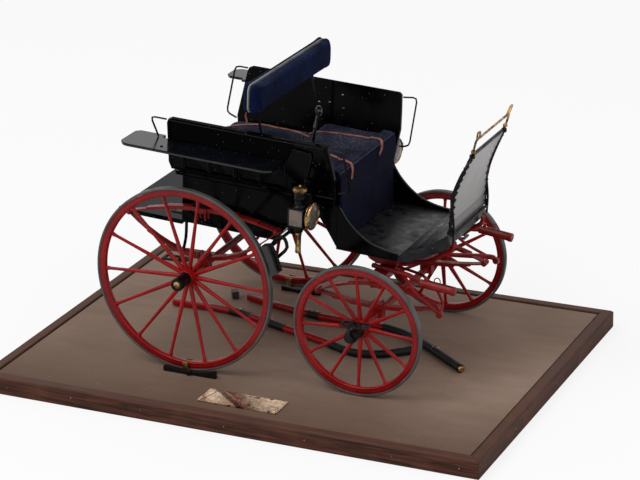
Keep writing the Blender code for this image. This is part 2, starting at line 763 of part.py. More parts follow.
def fore_frame():
    """The bolster, lower turntable plate, shaft sockets and their stays."""
    half = BOLSTER_WIDTH / 2
    reach = FRONT_SPRING_Y + SPRING_WIDTH / 2 + 1.5
    bolster = box((-half, -reach, BOLSTER_LOW), (half, reach, TURNTABLE_LOW + 0.5))
    plate = rod(TURNTABLE_RADIUS, TURNTABLE_LOW, TURNTABLE_LOW + TURNTABLE_THICKNESS, "Z", segments=24)
    top = TURNTABLE_LOW + TURNTABLE_THICKNESS
    pieces = [plate]
    for _, side in SIDES:
        route = [(-10, 30.5, top - 1.6), (8, 38.5, top), (25.4, 49.3, 82.7), (39.1, 57.0, 81.0)]
        route = rounded([(x, side * y, z) for x, y, z in route], 8.0, 2)
        end = (56.0, side * 56.5, 79.0)
        pieces.append(tube([*route, end], FUTCHELL_RADIUS, 8))
        pieces.append(tube([(37.5, side * 57.0, 81.1), (62.9, side * 56.2, 78.1)], SOCKET_RADIUS, 10))
        pieces.append(tube([(41.5, side * 57.0, 80.8), (41.5, side * 57.0, 86.2)], 1.3, 6))
        eye = (51.1, side * 55.4, 58.6)
        outer = [(20.0, side * 45.5, 80.4), (30.0, side * 50.5, 70.0), eye]
        inner = [(4.0, 20.0, BOLSTER_LOW + 2.0), (25.0, 22.0, 72.5), (43.0, 38.0, 68.5), (52.0, 50.0, 64.5)]
        inner = [*((x, side * y, z) for x, y, z in inner), eye]
        for stay in (outer, inner):
            pieces.append(tube(rounded(stay, 5.0, 2), STAY_RADIUS, 6))
        pieces.append(rod(2.4, side * 55.4 - 1.6, side * 55.4 + 1.6, centre=(eye[0], eye[2]), segments=8))
    frame = joined(bolster, *pieces)
    sockets = []
    for _, side in SIDES:
        sockets.append(tube([(52.0, side * 56.6, 79.4), (64.0, side * 56.15, 77.98)], SOCKET_BORE, 8))
    pin = rod(KINGPIN_RADIUS + RUN, BOLSTER_LOW - 1, top + 1, "Z", segments=12)
    return cut(frame, pin, *sockets)


def transom():
    """The upper turntable plate, kingpin, block under the footwell and swan necks."""
    low = UPPER_PLATE_LOW
    plate = rod(TURNTABLE_RADIUS, low, low + TURNTABLE_THICKNESS, "Z", (WHEELBASE, 0), 24)
    pin = rod(KINGPIN_RADIUS, BOLSTER_LOW + 1.0, low + 1.0, "Z", (WHEELBASE, 0), 12)
    ends = (WHEELBASE - 8.0, WHEELBASE + 9.0)
    outline = [(ends[0], low + 0.5), (ends[1], low + 0.5)]
    for x in reversed(ends):
        rise = FLOOR_LOW / math.cos(math.radians(BODY_PITCH))
        outline.append((x, BODY_PIVOT - x * math.tan(math.radians(BODY_PITCH)) + rise - GAP))
    block = prism(outline, -NECK_Y - 4.0, NECK_Y + 4.0)
    necks = []
    for _, side in SIDES:
        route = [(5.1, 84.0), (26.0, 83.9), (35.5, 87.1), (43.1, 93.6), (50.3, 97.0), (51.7, 103.4)]
        route = rounded([(WHEELBASE + x, side * NECK_Y, z) for x, z in route], 5.0, 2)
        necks.append(tube(route, NECK_RADIUS, 8))
    return joined(plate, pin, block, *necks)


def add_undercarriage(carriage, forecarriage):
    """The frame that steers and the one that stays with the body."""
    add_piece("fore_frame", fore_frame(), "wheel_red", forecarriage, smooth=35)
    add_piece("transom", transom(), "wheel_red", carriage, smooth=35)


# The body.


def boot_shell():
    """The closed boot with its cut-under, seat deck, moulding, spring perches and brake lugs."""
    outline = [
        (BOOT_REAR, BOOT_FLOOR),
        (54.5, BOOT_FLOOR),
        (59.0, 5.6),
        (63.4, 12.0),
        (76.0, 19.5),
        (89.6, 25.0),
        (97.0, 14.5),
        (BOOT_FRONT, 6.0),
        (BOOT_FRONT, DRIVER_DECK),
        (DRIVER_DECK_REAR, DRIVER_DECK),
        (DRIVER_DECK_REAR, SEAT_DECK),
        (BOOT_REAR, SEAT_DECK),
    ]
    shell = prism(outline, -BOOT_HALF_WIDTH, BOOT_HALF_WIDTH)
    reach = SIDE_HALF_WIDTH + 0.6
    low = SEAT_DECK - MOULDING_HEIGHT
    band = [(-reach, low + 1.2), (-reach + 1.2, low), (reach - 1.2, low), (reach, low + 1.2)]
    band += [(reach, SEAT_DECK - GAP), (-reach, SEAT_DECK - GAP)]
    pieces = [prism(band, BOOT_REAR - 3.0, BOOT_FRONT - 0.6, "X")]
    spring_top = REAR_SPRING_Z + REAR_SPRING_RISE
    for _, side in SIDES:
        inner, outer = sorted((side * (BOOT_HALF_WIDTH - 1), side * (REAR_SPRING_Y + 3.2)))
        corners = [(-6.5, spring_top + GAP), (6.5, spring_top + GAP), (6.5, spring_top + 3.4)]
        corners.append((-6.5, spring_top + 3.4))
        pieces.append(prism([in_body(x, z) for x, z in corners], inner, outer))
    u, w = in_body(BRAKE_X, BRAKE_Z)
    bores = []
    for _, side in SIDES:
        y = side * (BOOT_HALF_WIDTH - 5.0)
        pieces.append(box((u - 3.4, y - 1.5, w - 3.4), (u + 3.4, y + 1.5, w + 9.0)))
        bores.append(rod(BRAKE_SHAFT + RUN, y - 3.0, y + 3.0, centre=(u, w), segments=20))
    bores.append(lever_slot())
    return cut(joined(shell, *pieces), *bores)


def lever_slot():
    """The way for the brake lever up through the moulding and past the right seat side."""
    u, _ = in_body(*lever_route()[3])
    inner = -BRAKE_LEVER_Y + 1.9
    return box((u - 8.5, -SIDE_HALF_WIDTH - 4.0, SEAT_DECK - MOULDING_HEIGHT - 2), (u + 7.0, inner, SEAT_DECK + 9.0))


def seat_side(side):
    """A flared seat side with a row of sunk panels, drawn flat on its own bottom edge."""
    rear = SIDE_REAR
    top = SIDE_HEIGHT
    outline = [
        (rear + 1.5, GAP),
        (SIDE_FRONT - 0.8, GAP),
        (SIDE_FRONT + 0.5, top * 0.4),
        (SIDE_FRONT - 1.0, top * 0.7),
        (SIDE_FRONT - 2.6, top - 1.6),
        (SIDE_FRONT - 4.6, top),
        (rear + 7.5, top),
        (rear + 4.4, top - 1.6),
        (rear + 3.2, top - 4.5),
        (rear, top * 0.14),
    ]
    faces = sorted((0.0, -side * SIDE_THICKNESS))
    solid = prism(outline, *faces)
    pitch = (PANEL_FRONT - PANEL_REAR + PILLAR_WIDTH) / PANEL_COUNT
    sunk = []
    for index in range(PANEL_COUNT):
        start = PANEL_REAR + index * pitch
        depth = sorted((side * 1.0, -side * PANEL_SINK))
        sunk.append(box((start, depth[0], PANEL_LOW), (start + pitch - PILLAR_WIDTH, depth[1], PANEL_HIGH)))
    return cut(solid, *sunk)


def side_face(w):
    """How far out the outer face of a seat side is at a height."""
    return SIDE_HALF_WIDTH + (w - SEAT_DECK) * math.tan(math.radians(SIDE_FLARE))


def foot_side(side):
    """One cheek of the footwell, swept down from the seat to the toe board."""
    outline = [
        (BOOT_FRONT + GAP, FLOOR_LOW),
        (TOE_START - GAP, FLOOR_LOW),
        (TOE_START - GAP, 8.6),
    ]
    length = TOE_START - BOOT_FRONT - 2 * GAP
    sweep = ((0.81, 9.4), (0.64, 11.0), (0.49, 13.6), (0.32, 18.6), (0.15, 26.0), (0.05, 32.5), (0.0, 37.0))
    outline += [(BOOT_FRONT + GAP + share * length, w) for share, w in sweep]
    faces = sorted((side * BOOT_HALF_WIDTH, side * (BOOT_HALF_WIDTH - FOOT_SIDE_THICKNESS)))
    return prism(outline, *faces)


def foot_floor():
    """The floor of the footwell and the toe box that narrows towards the dash."""
    inner = BOOT_HALF_WIDTH - FOOT_SIDE_THICKNESS - GAP
    floor = box((BOOT_FRONT + GAP, -inner, FLOOR_LOW), (TOE_START + 1, inner, FLOOR_HIGH))
    rows = (
        (0.0, FLOOR_LOW, FLOOR_HIGH + 0.2),
        (0.26, FLOOR_LOW, 10.0),
        (0.47, 6.6, 13.8),
        (0.94, 12.2, 22.8),
        (1.0, 15.0, 24.0),
    )
    rings = []
    for share, low, high in rows:
        u = TOE_START + share * (TOE_END - TOE_START)
        half = BOOT_HALF_WIDTH + share * (TOE_HALF_WIDTH - BOOT_HALF_WIDTH)
        rings.append([(u, -half, low), (u, half, low), (u, half, high), (u, -half, high)])
    return joined(floor, loft(rings))


def dash_profile():
    """The dash's middle line from its foot to its top edge."""
    line = ((1.0, 25.0), (1.1, 40.0), (1.8, 54.0), (5.2, 65.0), (8.6, 74.0), (13.0, 84.0))
    return [(TOE_END + u, w) for u, w in line]


def dash_edge(w):
    """Half the dash's width at a height."""
    line = dash_profile()
    return DASH_HALF_WIDTH - DASH_TAPER * (w - line[0][1]) / (line[-1][1] - line[0][1])


def dash_panel():
    """A leather dash that stands upright and then curves forward to its top."""
    half = DASH_THICKNESS / 2
    rings = []
    for u, w in dash_profile():
        y = dash_edge(w)
        rings.append([(u - half, -y, w), (u + half, -y, w), (u + half, y, w), (u - half, y, w)])
    return loft(rings)


def dash_iron():
    """The iron that frames the dash, its foot bar, and a stay and a grip on each side."""
    clear = DASH_IRON_RADIUS + GAP
    line = dash_profile()
    foot = line[0][1] + 0.6
    heights = [foot, *(w for _, w in line[1:-1]), line[-1][1] + clear]
    edge = [(u, dash_edge(w) + clear, w) for (u, _), w in zip(line, heights)]
    loop = [(u, -y, w) for u, y, w in edge] + [(u, y, w) for u, y, w in reversed(edge)]
    pieces = []
    for _, side in SIDES:
        u, y, w = edge[1]
        stay = [(u, side * y, w + 8), (u + 2.5, side * y, w - 9), (TOE_END + 3.4, side * (y - 0.5), 19.0)]
        pieces.append(tube(rounded(stay, 5.0, 2), 0.9, 6))
        grip = [edge[-1], *((u, y + DASH_GRIP_SPREAD, w) for u, y, w in edge[-2:1:-1]), edge[1]]
        grip = [(u, side * y, w) for u, y, w in grip]
        grip[0] = (grip[0][0], grip[0][1], grip[0][2] - 3.0)
        pieces.append(tube(rounded(grip, 3.0, 2), 0.7, 6))
    out = edge[0][1]
    foot_bar = tube([(line[0][0] + 1.9, -out, foot - 1.2), (line[0][0] + 1.9, out, foot - 1.2)], 1.3, 6)
    return joined(tube(rounded(loop, 2.5, 2), DASH_IRON_RADIUS, 6), foot_bar, *pieces)


def rein_rail():
    """The brass rail over the dash, with a post and a rein loop at each end."""
    u, w = dash_profile()[-1]
    base = w + 2 * DASH_IRON_RADIUS + 2 * GAP
    level = w + 13.6
    post = dash_edge(w) + DASH_IRON_RADIUS + GAP
    out = post + REIN_RAIL_SPREAD
    route = [(u + 0.6, -post, base), (u + 3.0, -out, level), (u + 3.0, out, level), (u + 0.6, post, base)]
    rail = tube(rounded(route, 3.0, 2), REIN_RAIL_RADIUS, 6)
    pieces = []
    for _, side in SIDES:
        spots = ((3.0, -6.0, 0.0), (4.2, -4.6, 5.6), (4.4, 1.6, 6.2), (3.0, -1.6, 0.0))
        loop = [(u + ahead, side * (out + aside), level + up) for ahead, aside, up in spots]
        pieces.append(tube(rounded(loop, 2.0, 2), REIN_RAIL_RADIUS * 0.8, 6))
        knob = [(1.6, base + 0.4), (1.9, base + 1.4), (1.2, base + 2.6)]
        pieces.append(turned(knob, 8, "Z", (u + 0.8, side * (post + 0.1))))
    return joined(rail, *pieces)


def tailboard():
    """The rear footboard, drawn from its hinge: it reaches back and swings up."""
    low = -TAILBOARD_THICKNESS
    board = box((-TAILBOARD_LENGTH, -TAILBOARD_HALF_WIDTH, low), (-1.0, TAILBOARD_HALF_WIDTH, 0))
    barrels = []
    for place in (-0.7, 0.0, 0.7):
        y = place * TAILBOARD_HALF_WIDTH
        barrels.append(rod(1.2, y - 5.0, y + 5.0, centre=(0, 0), segments=12))
    return joined(board, *barrels)


def fender(side):
    """A level board over a rear wheel and its gussets, clear of the hand rail.

    The right one widens behind the seat side, and the left one is shorter and higher.
    """
    high = FENDER_TOP if side < 0 else FENDER_TOP + LEFT_FENDER_RISE
    rear = FENDER_REAR if side < 0 else LEFT_FENDER_REAR
    inner = side_face(high) + 2 * GAP
    corner = 7.0
    arcs = []
    for u, y, start in ((FENDER_FRONT, FENDER_OUTER, 0), (rear, FENDER_OUTER, 90)):
        centre_u = u - corner if start == 0 else u + corner
        for step in range(4):
            angle = math.radians(start + 30 * step)
            arcs.append((centre_u + corner * math.cos(angle), y - corner + corner * math.sin(angle)))
    behind = FENDER_REAR_INNER if side < 0 else inner + 3.0
    outline = [(FENDER_FRONT, inner + 1.5), *arcs, (rear, behind + 3)]
    outline += [(rear + 3, behind), (SIDE_REAR - 2.0, behind)]
    outline += [(SIDE_REAR - 2.0, inner), (FENDER_FRONT - 1.5, inner)]
    low = high - FENDER_THICKNESS
    board = prism([(u, side * y) for u, y in outline], low, high, "Z")
    corners = [(inner, low + 0.5), (inner + GUSSET_REACH, low + 0.5), (inner + GUSSET_REACH, low - 0.6)]
    corners.append((side_face(low - GUSSET_DROP) + 2 * GAP, low - GUSSET_DROP))
    gussets = []
    for u in (-8.0, 50.0):
        section = [(side * y, w) for y, w in corners]
        gussets.append(prism(section, u - GUSSET_THICKNESS / 2, u + GUSSET_THICKNESS / 2, "X"))
    return joined(board, *gussets)


def rear_rail_route(side):
    """The rear hand rail, from the top of the seat side down behind it.

    The left one ends at the foot of the seat side, and the right one on its fender.
    """
    high = SEAT_DECK + SIDE_HEIGHT * math.cos(math.radians(SIDE_FLARE)) - 2.0
    route = [(SIDE_REAR + 2.6, side_face(high) - 1.2, high)]
    if side < 0:
        route += [(-38.2, side_face(high) - 1.2, high), (-33.4, side_face(FENDER_TOP), FENDER_TOP + GAP)]
    else:
        route += [(-35.8, side_face(high) - 1.2, high), (-38.8, side_face(48.2) + 1.6, 48.2)]
        route.append((SIDE_REAR - RAIL_RADIUS - GAP, side_face(46.0) - 1.2, 46.6))
    return rounded([(u, side * y, w) for u, y, w in route], 3.5, 2)


def front_rail_route(side):
    """The front hand rail, from the top of the seat side down before it."""
    high = SEAT_DECK + SIDE_HEIGHT * math.cos(math.radians(SIDE_FLARE)) - 3.0
    route = [
        (SIDE_FRONT - 1.4, side_face(high) - 1.2, high),
        (112.6, side_face(high) + 0.4, high + 1.0),
        (113.3, side_face(49.9) - 3.7, 49.9),
        (SIDE_FRONT + 1.6, side_face(48.0) - 1.6, 48.0),
    ]
    return rounded([(u, side * y, w) for u, y, w in route], 3.5, 2)


def add_body(body):
    """The boot, footwell, dash, seat sides, fenders and rails."""
    add_piece("boot_shell", boot_shell(), "body_black", body)
    for hand, side in SIDES:
        panel = seat_side(side)
        place = (0, side * SIDE_HALF_WIDTH, SEAT_DECK)
        lean = -side * SIDE_FLARE
        if side < 0:
            panel = cut(panel, slot_in_side())
        add_piece(f"seat_side_{hand}", panel, "body_black", body, place, (lean, 0, 0))
        add_piece(f"foot_side_{hand}", foot_side(side), "body_black", body)
        add_piece(f"fender_{hand}", fender(side), "body_black", body, smooth=25)
        add_piece(f"rear_rail_{hand}", tube(rear_rail_route(side), RAIL_RADIUS, 6), "black", body, smooth=70)
        add_piece(f"front_rail_{hand}", tube(front_rail_route(side), RAIL_RADIUS, 6), "black", body, smooth=70)
    add_piece("foot_floor", foot_floor(), "body_black", body)
    add_piece("dash_panel", dash_panel(), "leather", body, smooth=30)
    add_piece("dash_iron", dash_iron(), "black", body, smooth=40)
    add_piece("rein_rail", rein_rail(), "brass", body, smooth=40)
    hinge = (BOOT_REAR - TAILBOARD_HINGE, 0, BOOT_FLOOR - 1.2)
    add_piece("tailboard", tailboard(), "body_black", body, hinge)


def slot_in_side():
    """The part of the lever's slot that falls in the right seat side, in its own frame."""
    u, _ = in_body(*lever_route()[3])
    return box((u - 8.5, -3.0, -2.0), (u + 7.0, SIDE_THICKNESS + 3.0, 9.0))


# Soft pieces.


def cushion(half, low, top, channels, grid=(10, 16), fullness=6):
    """A filled cushion about its own middle.

    half is its half length and half width, and low and top give the height of
    its underside and crown at a share along it. Its sides draw in as
    (1 - a ** fullness) ** 0.5 of the share a from the middle, and each channel
    sinks as a narrow bell across its length.
    """
    rows, columns = grid

    def edge(share):
        return math.sqrt(max(0.0, 1 - abs(share) ** fullness))

    def height(a, b, upper):
        floor, crown = low(a), top(a)
        middle = floor + (crown - floor) * 0.4
        swell = edge(a) * edge(b)
        if not upper:
            return middle + (floor - middle) * min(1.0, 1.6 * swell)
        sink = sum(math.exp(-(((b - place) / 0.035) ** 2)) for place in channels)
        return middle + (crown - middle) * swell * (1 - 0.22 * min(1.0, sink)) * (0.9 + 0.1 * (1 - b * b))

    def share(step, steps):
        return math.sin((step / steps - 0.5) * math.pi) * 0.35 + (2 * step / steps - 1) * 0.65

    def points(upper):
        grid_points = {}
        for i in range(rows + 1):
            for j in range(columns + 1):
                a, b = share(i, rows), share(j, columns)
                grid_points[i, j] = (a * half[0], b * half[1], height(a, b, upper))
        return grid_points

    solid = bmesh.new()
    upper_points, lower_points = points(True), points(False)
    upper = {key: solid.verts.new(point) for key, point in upper_points.items()}
    rim = {key for key in upper if key[0] in (0, rows) or key[1] in (0, columns)}
    lower = {key: upper[key] if key in rim else solid.verts.new(lower_points[key]) for key in upper}
    for i in range(rows):
        for j in range(columns):
            corners = ((i, j), (i + 1, j), (i + 1, j + 1), (i, j + 1))
            solid.faces.new([upper[key] for key in corners])
            solid.faces.new([lower[key] for key in reversed(corners)])
    return solid


def front_cushion():
    """The driver's cushion, almost level."""
    half = ((FRONT_CUSHION_FRONT - FRONT_CUSHION_REAR) / 2, CUSHION_HALF_WIDTH)
    return cushion(half, lambda a: 0.0, lambda a: FRONT_CUSHION_HEIGHT, (-0.5, 0.0, 0.5), fullness=12), half


def rear_cushion():
    """The rear cushion, whose top falls away towards the boot's rear edge."""
    half = ((REAR_CUSHION_FRONT - REAR_CUSHION_REAR) / 2, CUSHION_HALF_WIDTH)
    sloped = 2 * REAR_CUSHION_SLOPE / half[0]

    def crown(a):
        past = max(0.0, sloped - 1 - a) / sloped
        return REAR_CUSHION_HEIGHT - REAR_CUSHION_DROP * past**2

    return cushion(half, lambda a: 0.0, crown, (-0.5, 0.0, 0.5)), half


def backrest_pad():
    """The stuffed backrest, upright across the body, with sockets for its stays."""
    half_height = (BACKREST_HIGH - BACKREST_LOW) / 2
    pad = cushion(
        (half_height, BACKREST_HALF_WIDTH),
        lambda a: 0.0,
        lambda a: BACKREST_DEPTH,
        (-0.66, -0.33, 0.0, 0.33, 0.66),
        (6, 20),
    )
    for vert in pad.verts:
        along, aside, depth = vert.co
        vert.co = (depth - BACKREST_DEPTH / 2, aside, along)
    bmesh.ops.reverse_faces(pad, faces=pad.faces)
    sockets = []
    for _, side in SIDES:
        centre = (0.0, side * BACKREST_STAY_Y - BACKREST_SHIFT)
        sockets.append(rod(BACKREST_STAY + 2 * GAP, -half_height - 3, 0.0, "Z", centre, 8))
    return cut(pad, *sockets)


def backrest_iron():
    """The stays of the backrest, joined by a rod between the cushions."""
    foot = SEAT_DECK + GAP + BACKREST_STAY
    seat = (REAR_CUSHION_FRONT + FRONT_CUSHION_REAR) / 2
    knee = (seat, 58.0)
    top = BACKREST_LOW + (BACKREST_HIGH - BACKREST_LOW) * 0.4
    y = BACKREST_STAY_Y
    route = [
        (BACKREST_U, -y, top),
        (BACKREST_U, -y, BACKREST_LOW - 2),
        (knee[0], -y, knee[1]),
        (seat, -y, foot),
        (seat, y, foot),
        (knee[0], y, knee[1]),
        (BACKREST_U, y, BACKREST_LOW - 2),
        (BACKREST_U, y, top),
    ]
    return tube(rounded(route, 3.0, 2), BACKREST_STAY, 6)


def seat_fall():
    """The cloth that hangs from the front seat, with its long folds.

    Its middle face is at u0 + lean + fold * cos(folds * pi * y / half) * (1 - h),
    with h the height's share from the hem to the top.
    """
    low = FLOOR_HIGH + GAP
    high = DRIVER_DECK + 4.6
    u0 = BOOT_FRONT + GAP + FALL_FOLD + FALL_THICKNESS / 2 + 0.2
    rows, columns = 4, 28
    rings = []
    for j in range(columns + 1):
        y = FALL_HALF_WIDTH * (2 * j / columns - 1)
        front, back = [], []
        for i in range(rows + 1):
            h = i / rows
            wave = FALL_FOLD * math.cos(7 * math.pi * y / FALL_HALF_WIDTH) * (1 - 0.7 * h)
            tuck = -0.9 * max(0.0, h - 0.75) / 0.25
            u = u0 + wave + tuck + 0.8 * (1 - h)
            w = low + h * (high - low)
            front.append((u + FALL_THICKNESS / 2, y, w))
            back.append((u - FALL_THICKNESS / 2, y, w))
        rings.append(front + back[::-1])
    return loft(rings)


def add_seats(body):
    """Cushions, backrest and fall."""
    solid, half = front_cushion()
    place = (FRONT_CUSHION_REAR + half[0], 0, DRIVER_DECK + GAP)
    add_piece("front_cushion", solid, "wool", body, place, smooth=60)
    solid, half = rear_cushion()
    place = (REAR_CUSHION_REAR + half[0], 0, SEAT_DECK + GAP)
    add_piece("rear_cushion", solid, "wool", body, place, smooth=60)
    place = (BACKREST_U, BACKREST_SHIFT, (BACKREST_LOW + BACKREST_HIGH) / 2)
    add_piece("backrest_pad", backrest_pad(), "wool", body, place, smooth=60)
    add_piece("backrest_iron", backrest_iron(), "black", body, smooth=40)
    add_piece("seat_fall", seat_fall(), "wool", body, smooth=60)


# Lamps.

LAMP_FACE = LAMP_U + LAMP_LENGTH / 2
DRUM_LENGTH = 2.8
DOOR_U = LAMP_FACE + DRUM_LENGTH + GAP


def lamp(side):
    """A candle lamp about its own axis, with the iron that holds it to the seat side."""
    half = (LAMP_LENGTH / 2, LAMP_WIDTH / 2, LAMP_HEIGHT / 2)
    case = box((-half[0], -half[1], -half[2]), half)
    drum = turned(
        [(LENS_RADIUS * 0.6, half[0] - 1.0), (LENS_RADIUS * 0.94, half[0] + DRUM_LENGTH)],
        16,
        "X",
    )
    top = half[2]
    chimney_top = top + 9.5
    chimney = [
        (CHIMNEY_RADIUS + 1.4, top - 0.5),
        (CHIMNEY_RADIUS, top + 1.5),
        (CHIMNEY_RADIUS, chimney_top + 0.5),
    ]
    crown = [
        (CROWN_RADIUS - 1.6, chimney_top),
        (CROWN_RADIUS, chimney_top + CROWN_HEIGHT * 0.35),
        (CROWN_RADIUS - 1.2, chimney_top + CROWN_HEIGHT * 0.75),
        (CROWN_RADIUS * 0.45, chimney_top + CROWN_HEIGHT),
    ]
    cup = [
        (CANDLE_TUBE_RADIUS + 0.4, -half[2] - 5.0),
        (CANDLE_TUBE_RADIUS + 2.0, -half[2] - 2.5),
        (half[1] - 0.8, -half[2] + 0.4),
    ]
    low = -half[2] - 4.6 - CANDLE_TUBE_LENGTH
    stem = [
        (CANDLE_TUBE_RADIUS - 0.6, low),
        (CANDLE_TUBE_RADIUS, low + 0.8),
        (CANDLE_TUBE_RADIUS, -half[2] - 4.6),
    ]
    face = side_face(SEAT_DECK + 12.0) - LAMP_Y
    inward = -side * (abs(face) - LAMP_IRON - 2 * GAP)
    iron = [(0.0, -side * (half[1] - 0.5), 4.0), (-2.5, inward, 14.5), (-1.5, inward, 19.5)]
    pieces = [drum]
    for profile in (chimney, crown, cup, stem):
        pieces.append(turned(profile, 12, "Z"))
    pieces.append(tube(rounded(iron, 3.0, 2), LAMP_IRON, 6))
    return joined(case, *pieces)


def lamp_door(side):
    """The round glazed door, drawn from the hinge on its outer edge."""
    reach = LENS_RADIUS + 0.6
    profile = [
        (LENS_GLASS_RADIUS * 0.98, 0.0),
        (LENS_RADIUS, 0.5),
        (LENS_RADIUS - 0.9, DOOR_THICKNESS),
        (LENS_GLASS_RADIUS, DOOR_THICKNESS - 0.2),
        (LENS_GLASS_RADIUS * 0.95, DOOR_THICKNESS - 1.0),
    ]
    disc = turned(profile, 20, "X", (-side * reach, 0.0))
    barrel = rod(0.9, -3.2, 3.2, "Z", (0.9, 0.0), 8)
    return joined(disc, barrel)


def add_lamps(body):
    """A lamp on each side, with its door hinged on the outer edge."""
    for hand, side in SIDES:
        add_piece(f"lamp_{hand}", lamp(side), "iron", body, (LAMP_U, side * LAMP_Y, LAMP_W), smooth=35)
        hinge = (DOOR_U, side * (LAMP_Y + LENS_RADIUS + 0.6), LAMP_W + 1.5)
        add_piece(f"lamp_door_{hand}", lamp_door(side), "glass", body, hinge, smooth=35)


# The brake and the rear steps.


def lever_route():
    """The brake lever's (x, z) places from the shaft to its tip."""
    return [(BRAKE_X, BRAKE_Z), (71.5, 112.0), (76.0, 122.0), (81.0, 138.0), (88.0, 170.0), (95.0, 198.0)]


def brake_gear():
    """The shaft, its two block arms and the hand lever, drawn from the shaft's middle."""
    aside = REAR_RIM_Y - BLOCK_INSET - BLOCK_WIDTH / 2 - GAP - BRAKE_ARM
    pieces = []
    for _, side in SIDES:
        y = side * aside
        arm = [(0.0, 0.0), (5.0, 7.0), (10.5, 9.0), (14.0, 1.0), (block_middle()[0] + BLOCK_DEPTH / 2 + 1.6, -7.6)]
        pieces.append(tube(rounded([(x, y, z) for x, z in arm], 4.0, 2), BRAKE_ARM, 8))
    outwards = (0, 0, 0, 0, 1.4, 4.0)
    lever = []
    for (x, z), out in zip(lever_route(), outwards):
        lever.append((x - BRAKE_X, -BRAKE_LEVER_Y - out, z - BRAKE_Z))
    pieces.append(tube(rounded(lever, 6.0, 2), 1.1, 8))
    tip = Vector(lever[-1])
    pieces.append(tube([tip - Vector((1.5, 0, 6.0)), tip + Vector((0.3, 0, 1.0))], [1.6, 1.8], 8))
    return joined(rod(BRAKE_SHAFT, -aside, aside, segments=12), *pieces)


def block_middle():
    """The middle of a brake block's rubbing face, from the shaft."""
    angle = math.radians(20.0)
    radius = REAR_TYRE_RADIUS + BLOCK_GAP
    return radius * math.cos(angle) - BRAKE_X, REAR_AXLE_Z + radius * math.sin(angle) - BRAKE_Z


def brake_block(side):
    """A wooden block hollowed to the tyre, drawn from the brake shaft."""
    inner = REAR_TYRE_RADIUS + BLOCK_GAP
    outer = inner + BLOCK_DEPTH
    outline = []
    for radius, angles in ((inner, (11, 14, 17, 20, 23, 26, 29)), (outer, (28, 20, 12))):
        for angle in angles:
            turn = math.radians(angle)
            outline.append((radius * math.cos(turn) - BRAKE_X, radius * math.sin(turn) + REAR_AXLE_Z - BRAKE_Z))
    middle = side * (REAR_RIM_Y - BLOCK_INSET)
    return prism(outline, middle - BLOCK_WIDTH / 2, middle + BLOCK_WIDTH / 2)


def add_brake(carriage):
    """The brake, which turns about its shaft as one piece with its blocks."""
    place = (BRAKE_X, 0, BRAKE_Z)
    add_piece("brake_gear", brake_gear(), "black", carriage, place, smooth=40)
    for hand, side in SIDES:
        add_piece(f"brake_block_{hand}", brake_block(side), "wood", carriage, place)


def add_rear_steps(carriage):
    """A slotted step hung under each rear corner of the boot."""
    for hand, side in SIDES:
        y = side * REAR_STEP_Y
        x, z = in_carriage(BOOT_REAR + 2.2, BOOT_FLOOR - GAP)
        middle = x - 10.0
        landing = (middle + STEP_LENGTH * 0.15, y, REAR_STEP_HEIGHT + 0.9)
        route = [(x, y, z - 0.1), (x - 1.0, y, 85.0), (x - 4.5, y, 73.0), landing]
        hanger = tube(rounded(route, 5.0, 2), 1.2, 8)
        tread = slotted_step(middle, y, REAR_STEP_HEIGHT)
        add_piece(f"rear_step_{hand}", joined(tread, hanger), "black", carriage, smooth=35)


def main():
    """Clears the scene and adds the whole model."""
    clear_scene()
    board = add_frame("board", (0, 0, 0))
    carriage = add_frame("carriage", (CARRIAGE_X, CARRIAGE_Y, PANEL_TOP), parent=board)
    body = add_frame("body", (0, 0, BODY_PIVOT), (0, BODY_PITCH, 0), carriage)
    forecarriage = add_frame("forecarriage", (WHEELBASE, 0, 0), parent=carriage)
    add_board(board)
    add_loose_pieces(carriage)
    add_wheels(carriage, forecarriage)
    add_axles(carriage, forecarriage)
    add_springs(carriage, forecarriage)
    add_undercarriage(carriage, forecarriage)
    add_body(body)
    add_seats(body)
    add_lamps(body)
    add_brake(carriage)
    add_rear_steps(carriage)


main()
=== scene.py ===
"""Looks of a model phaeton on its display board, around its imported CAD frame.

Sizes are in millimetres in one of four frames and become world metres in Place.
The frames are the board, the carriage on top of the board's panel, the body,
which is pitched nose down on its springs, and the forecarriage, which steers.
"""

import json
import logging
import math
from dataclasses import dataclass
from enum import Enum
from functools import cache
from typing import Callable, Iterable, Sequence

import bpy
import numpy as np
from mathutils import Matrix
from numpy.typing import NDArray

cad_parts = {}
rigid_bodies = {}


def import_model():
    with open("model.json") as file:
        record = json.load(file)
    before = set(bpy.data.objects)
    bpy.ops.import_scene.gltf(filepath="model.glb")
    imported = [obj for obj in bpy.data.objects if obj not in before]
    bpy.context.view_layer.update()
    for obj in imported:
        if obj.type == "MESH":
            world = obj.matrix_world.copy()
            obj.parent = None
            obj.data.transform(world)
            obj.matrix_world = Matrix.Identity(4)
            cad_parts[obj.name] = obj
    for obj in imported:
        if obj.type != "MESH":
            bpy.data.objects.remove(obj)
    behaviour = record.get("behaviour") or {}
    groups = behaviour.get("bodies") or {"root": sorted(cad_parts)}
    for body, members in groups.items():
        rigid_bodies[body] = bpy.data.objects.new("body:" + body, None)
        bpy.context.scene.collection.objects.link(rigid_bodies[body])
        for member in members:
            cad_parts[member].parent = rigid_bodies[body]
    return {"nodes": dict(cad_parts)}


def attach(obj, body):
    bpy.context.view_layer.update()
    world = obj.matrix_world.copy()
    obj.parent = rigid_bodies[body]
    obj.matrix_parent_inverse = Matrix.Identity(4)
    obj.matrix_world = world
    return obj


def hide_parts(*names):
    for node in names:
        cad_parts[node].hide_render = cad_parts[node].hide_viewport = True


for startup in list(bpy.data.objects):
    bpy.data.objects.remove(startup)
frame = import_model()

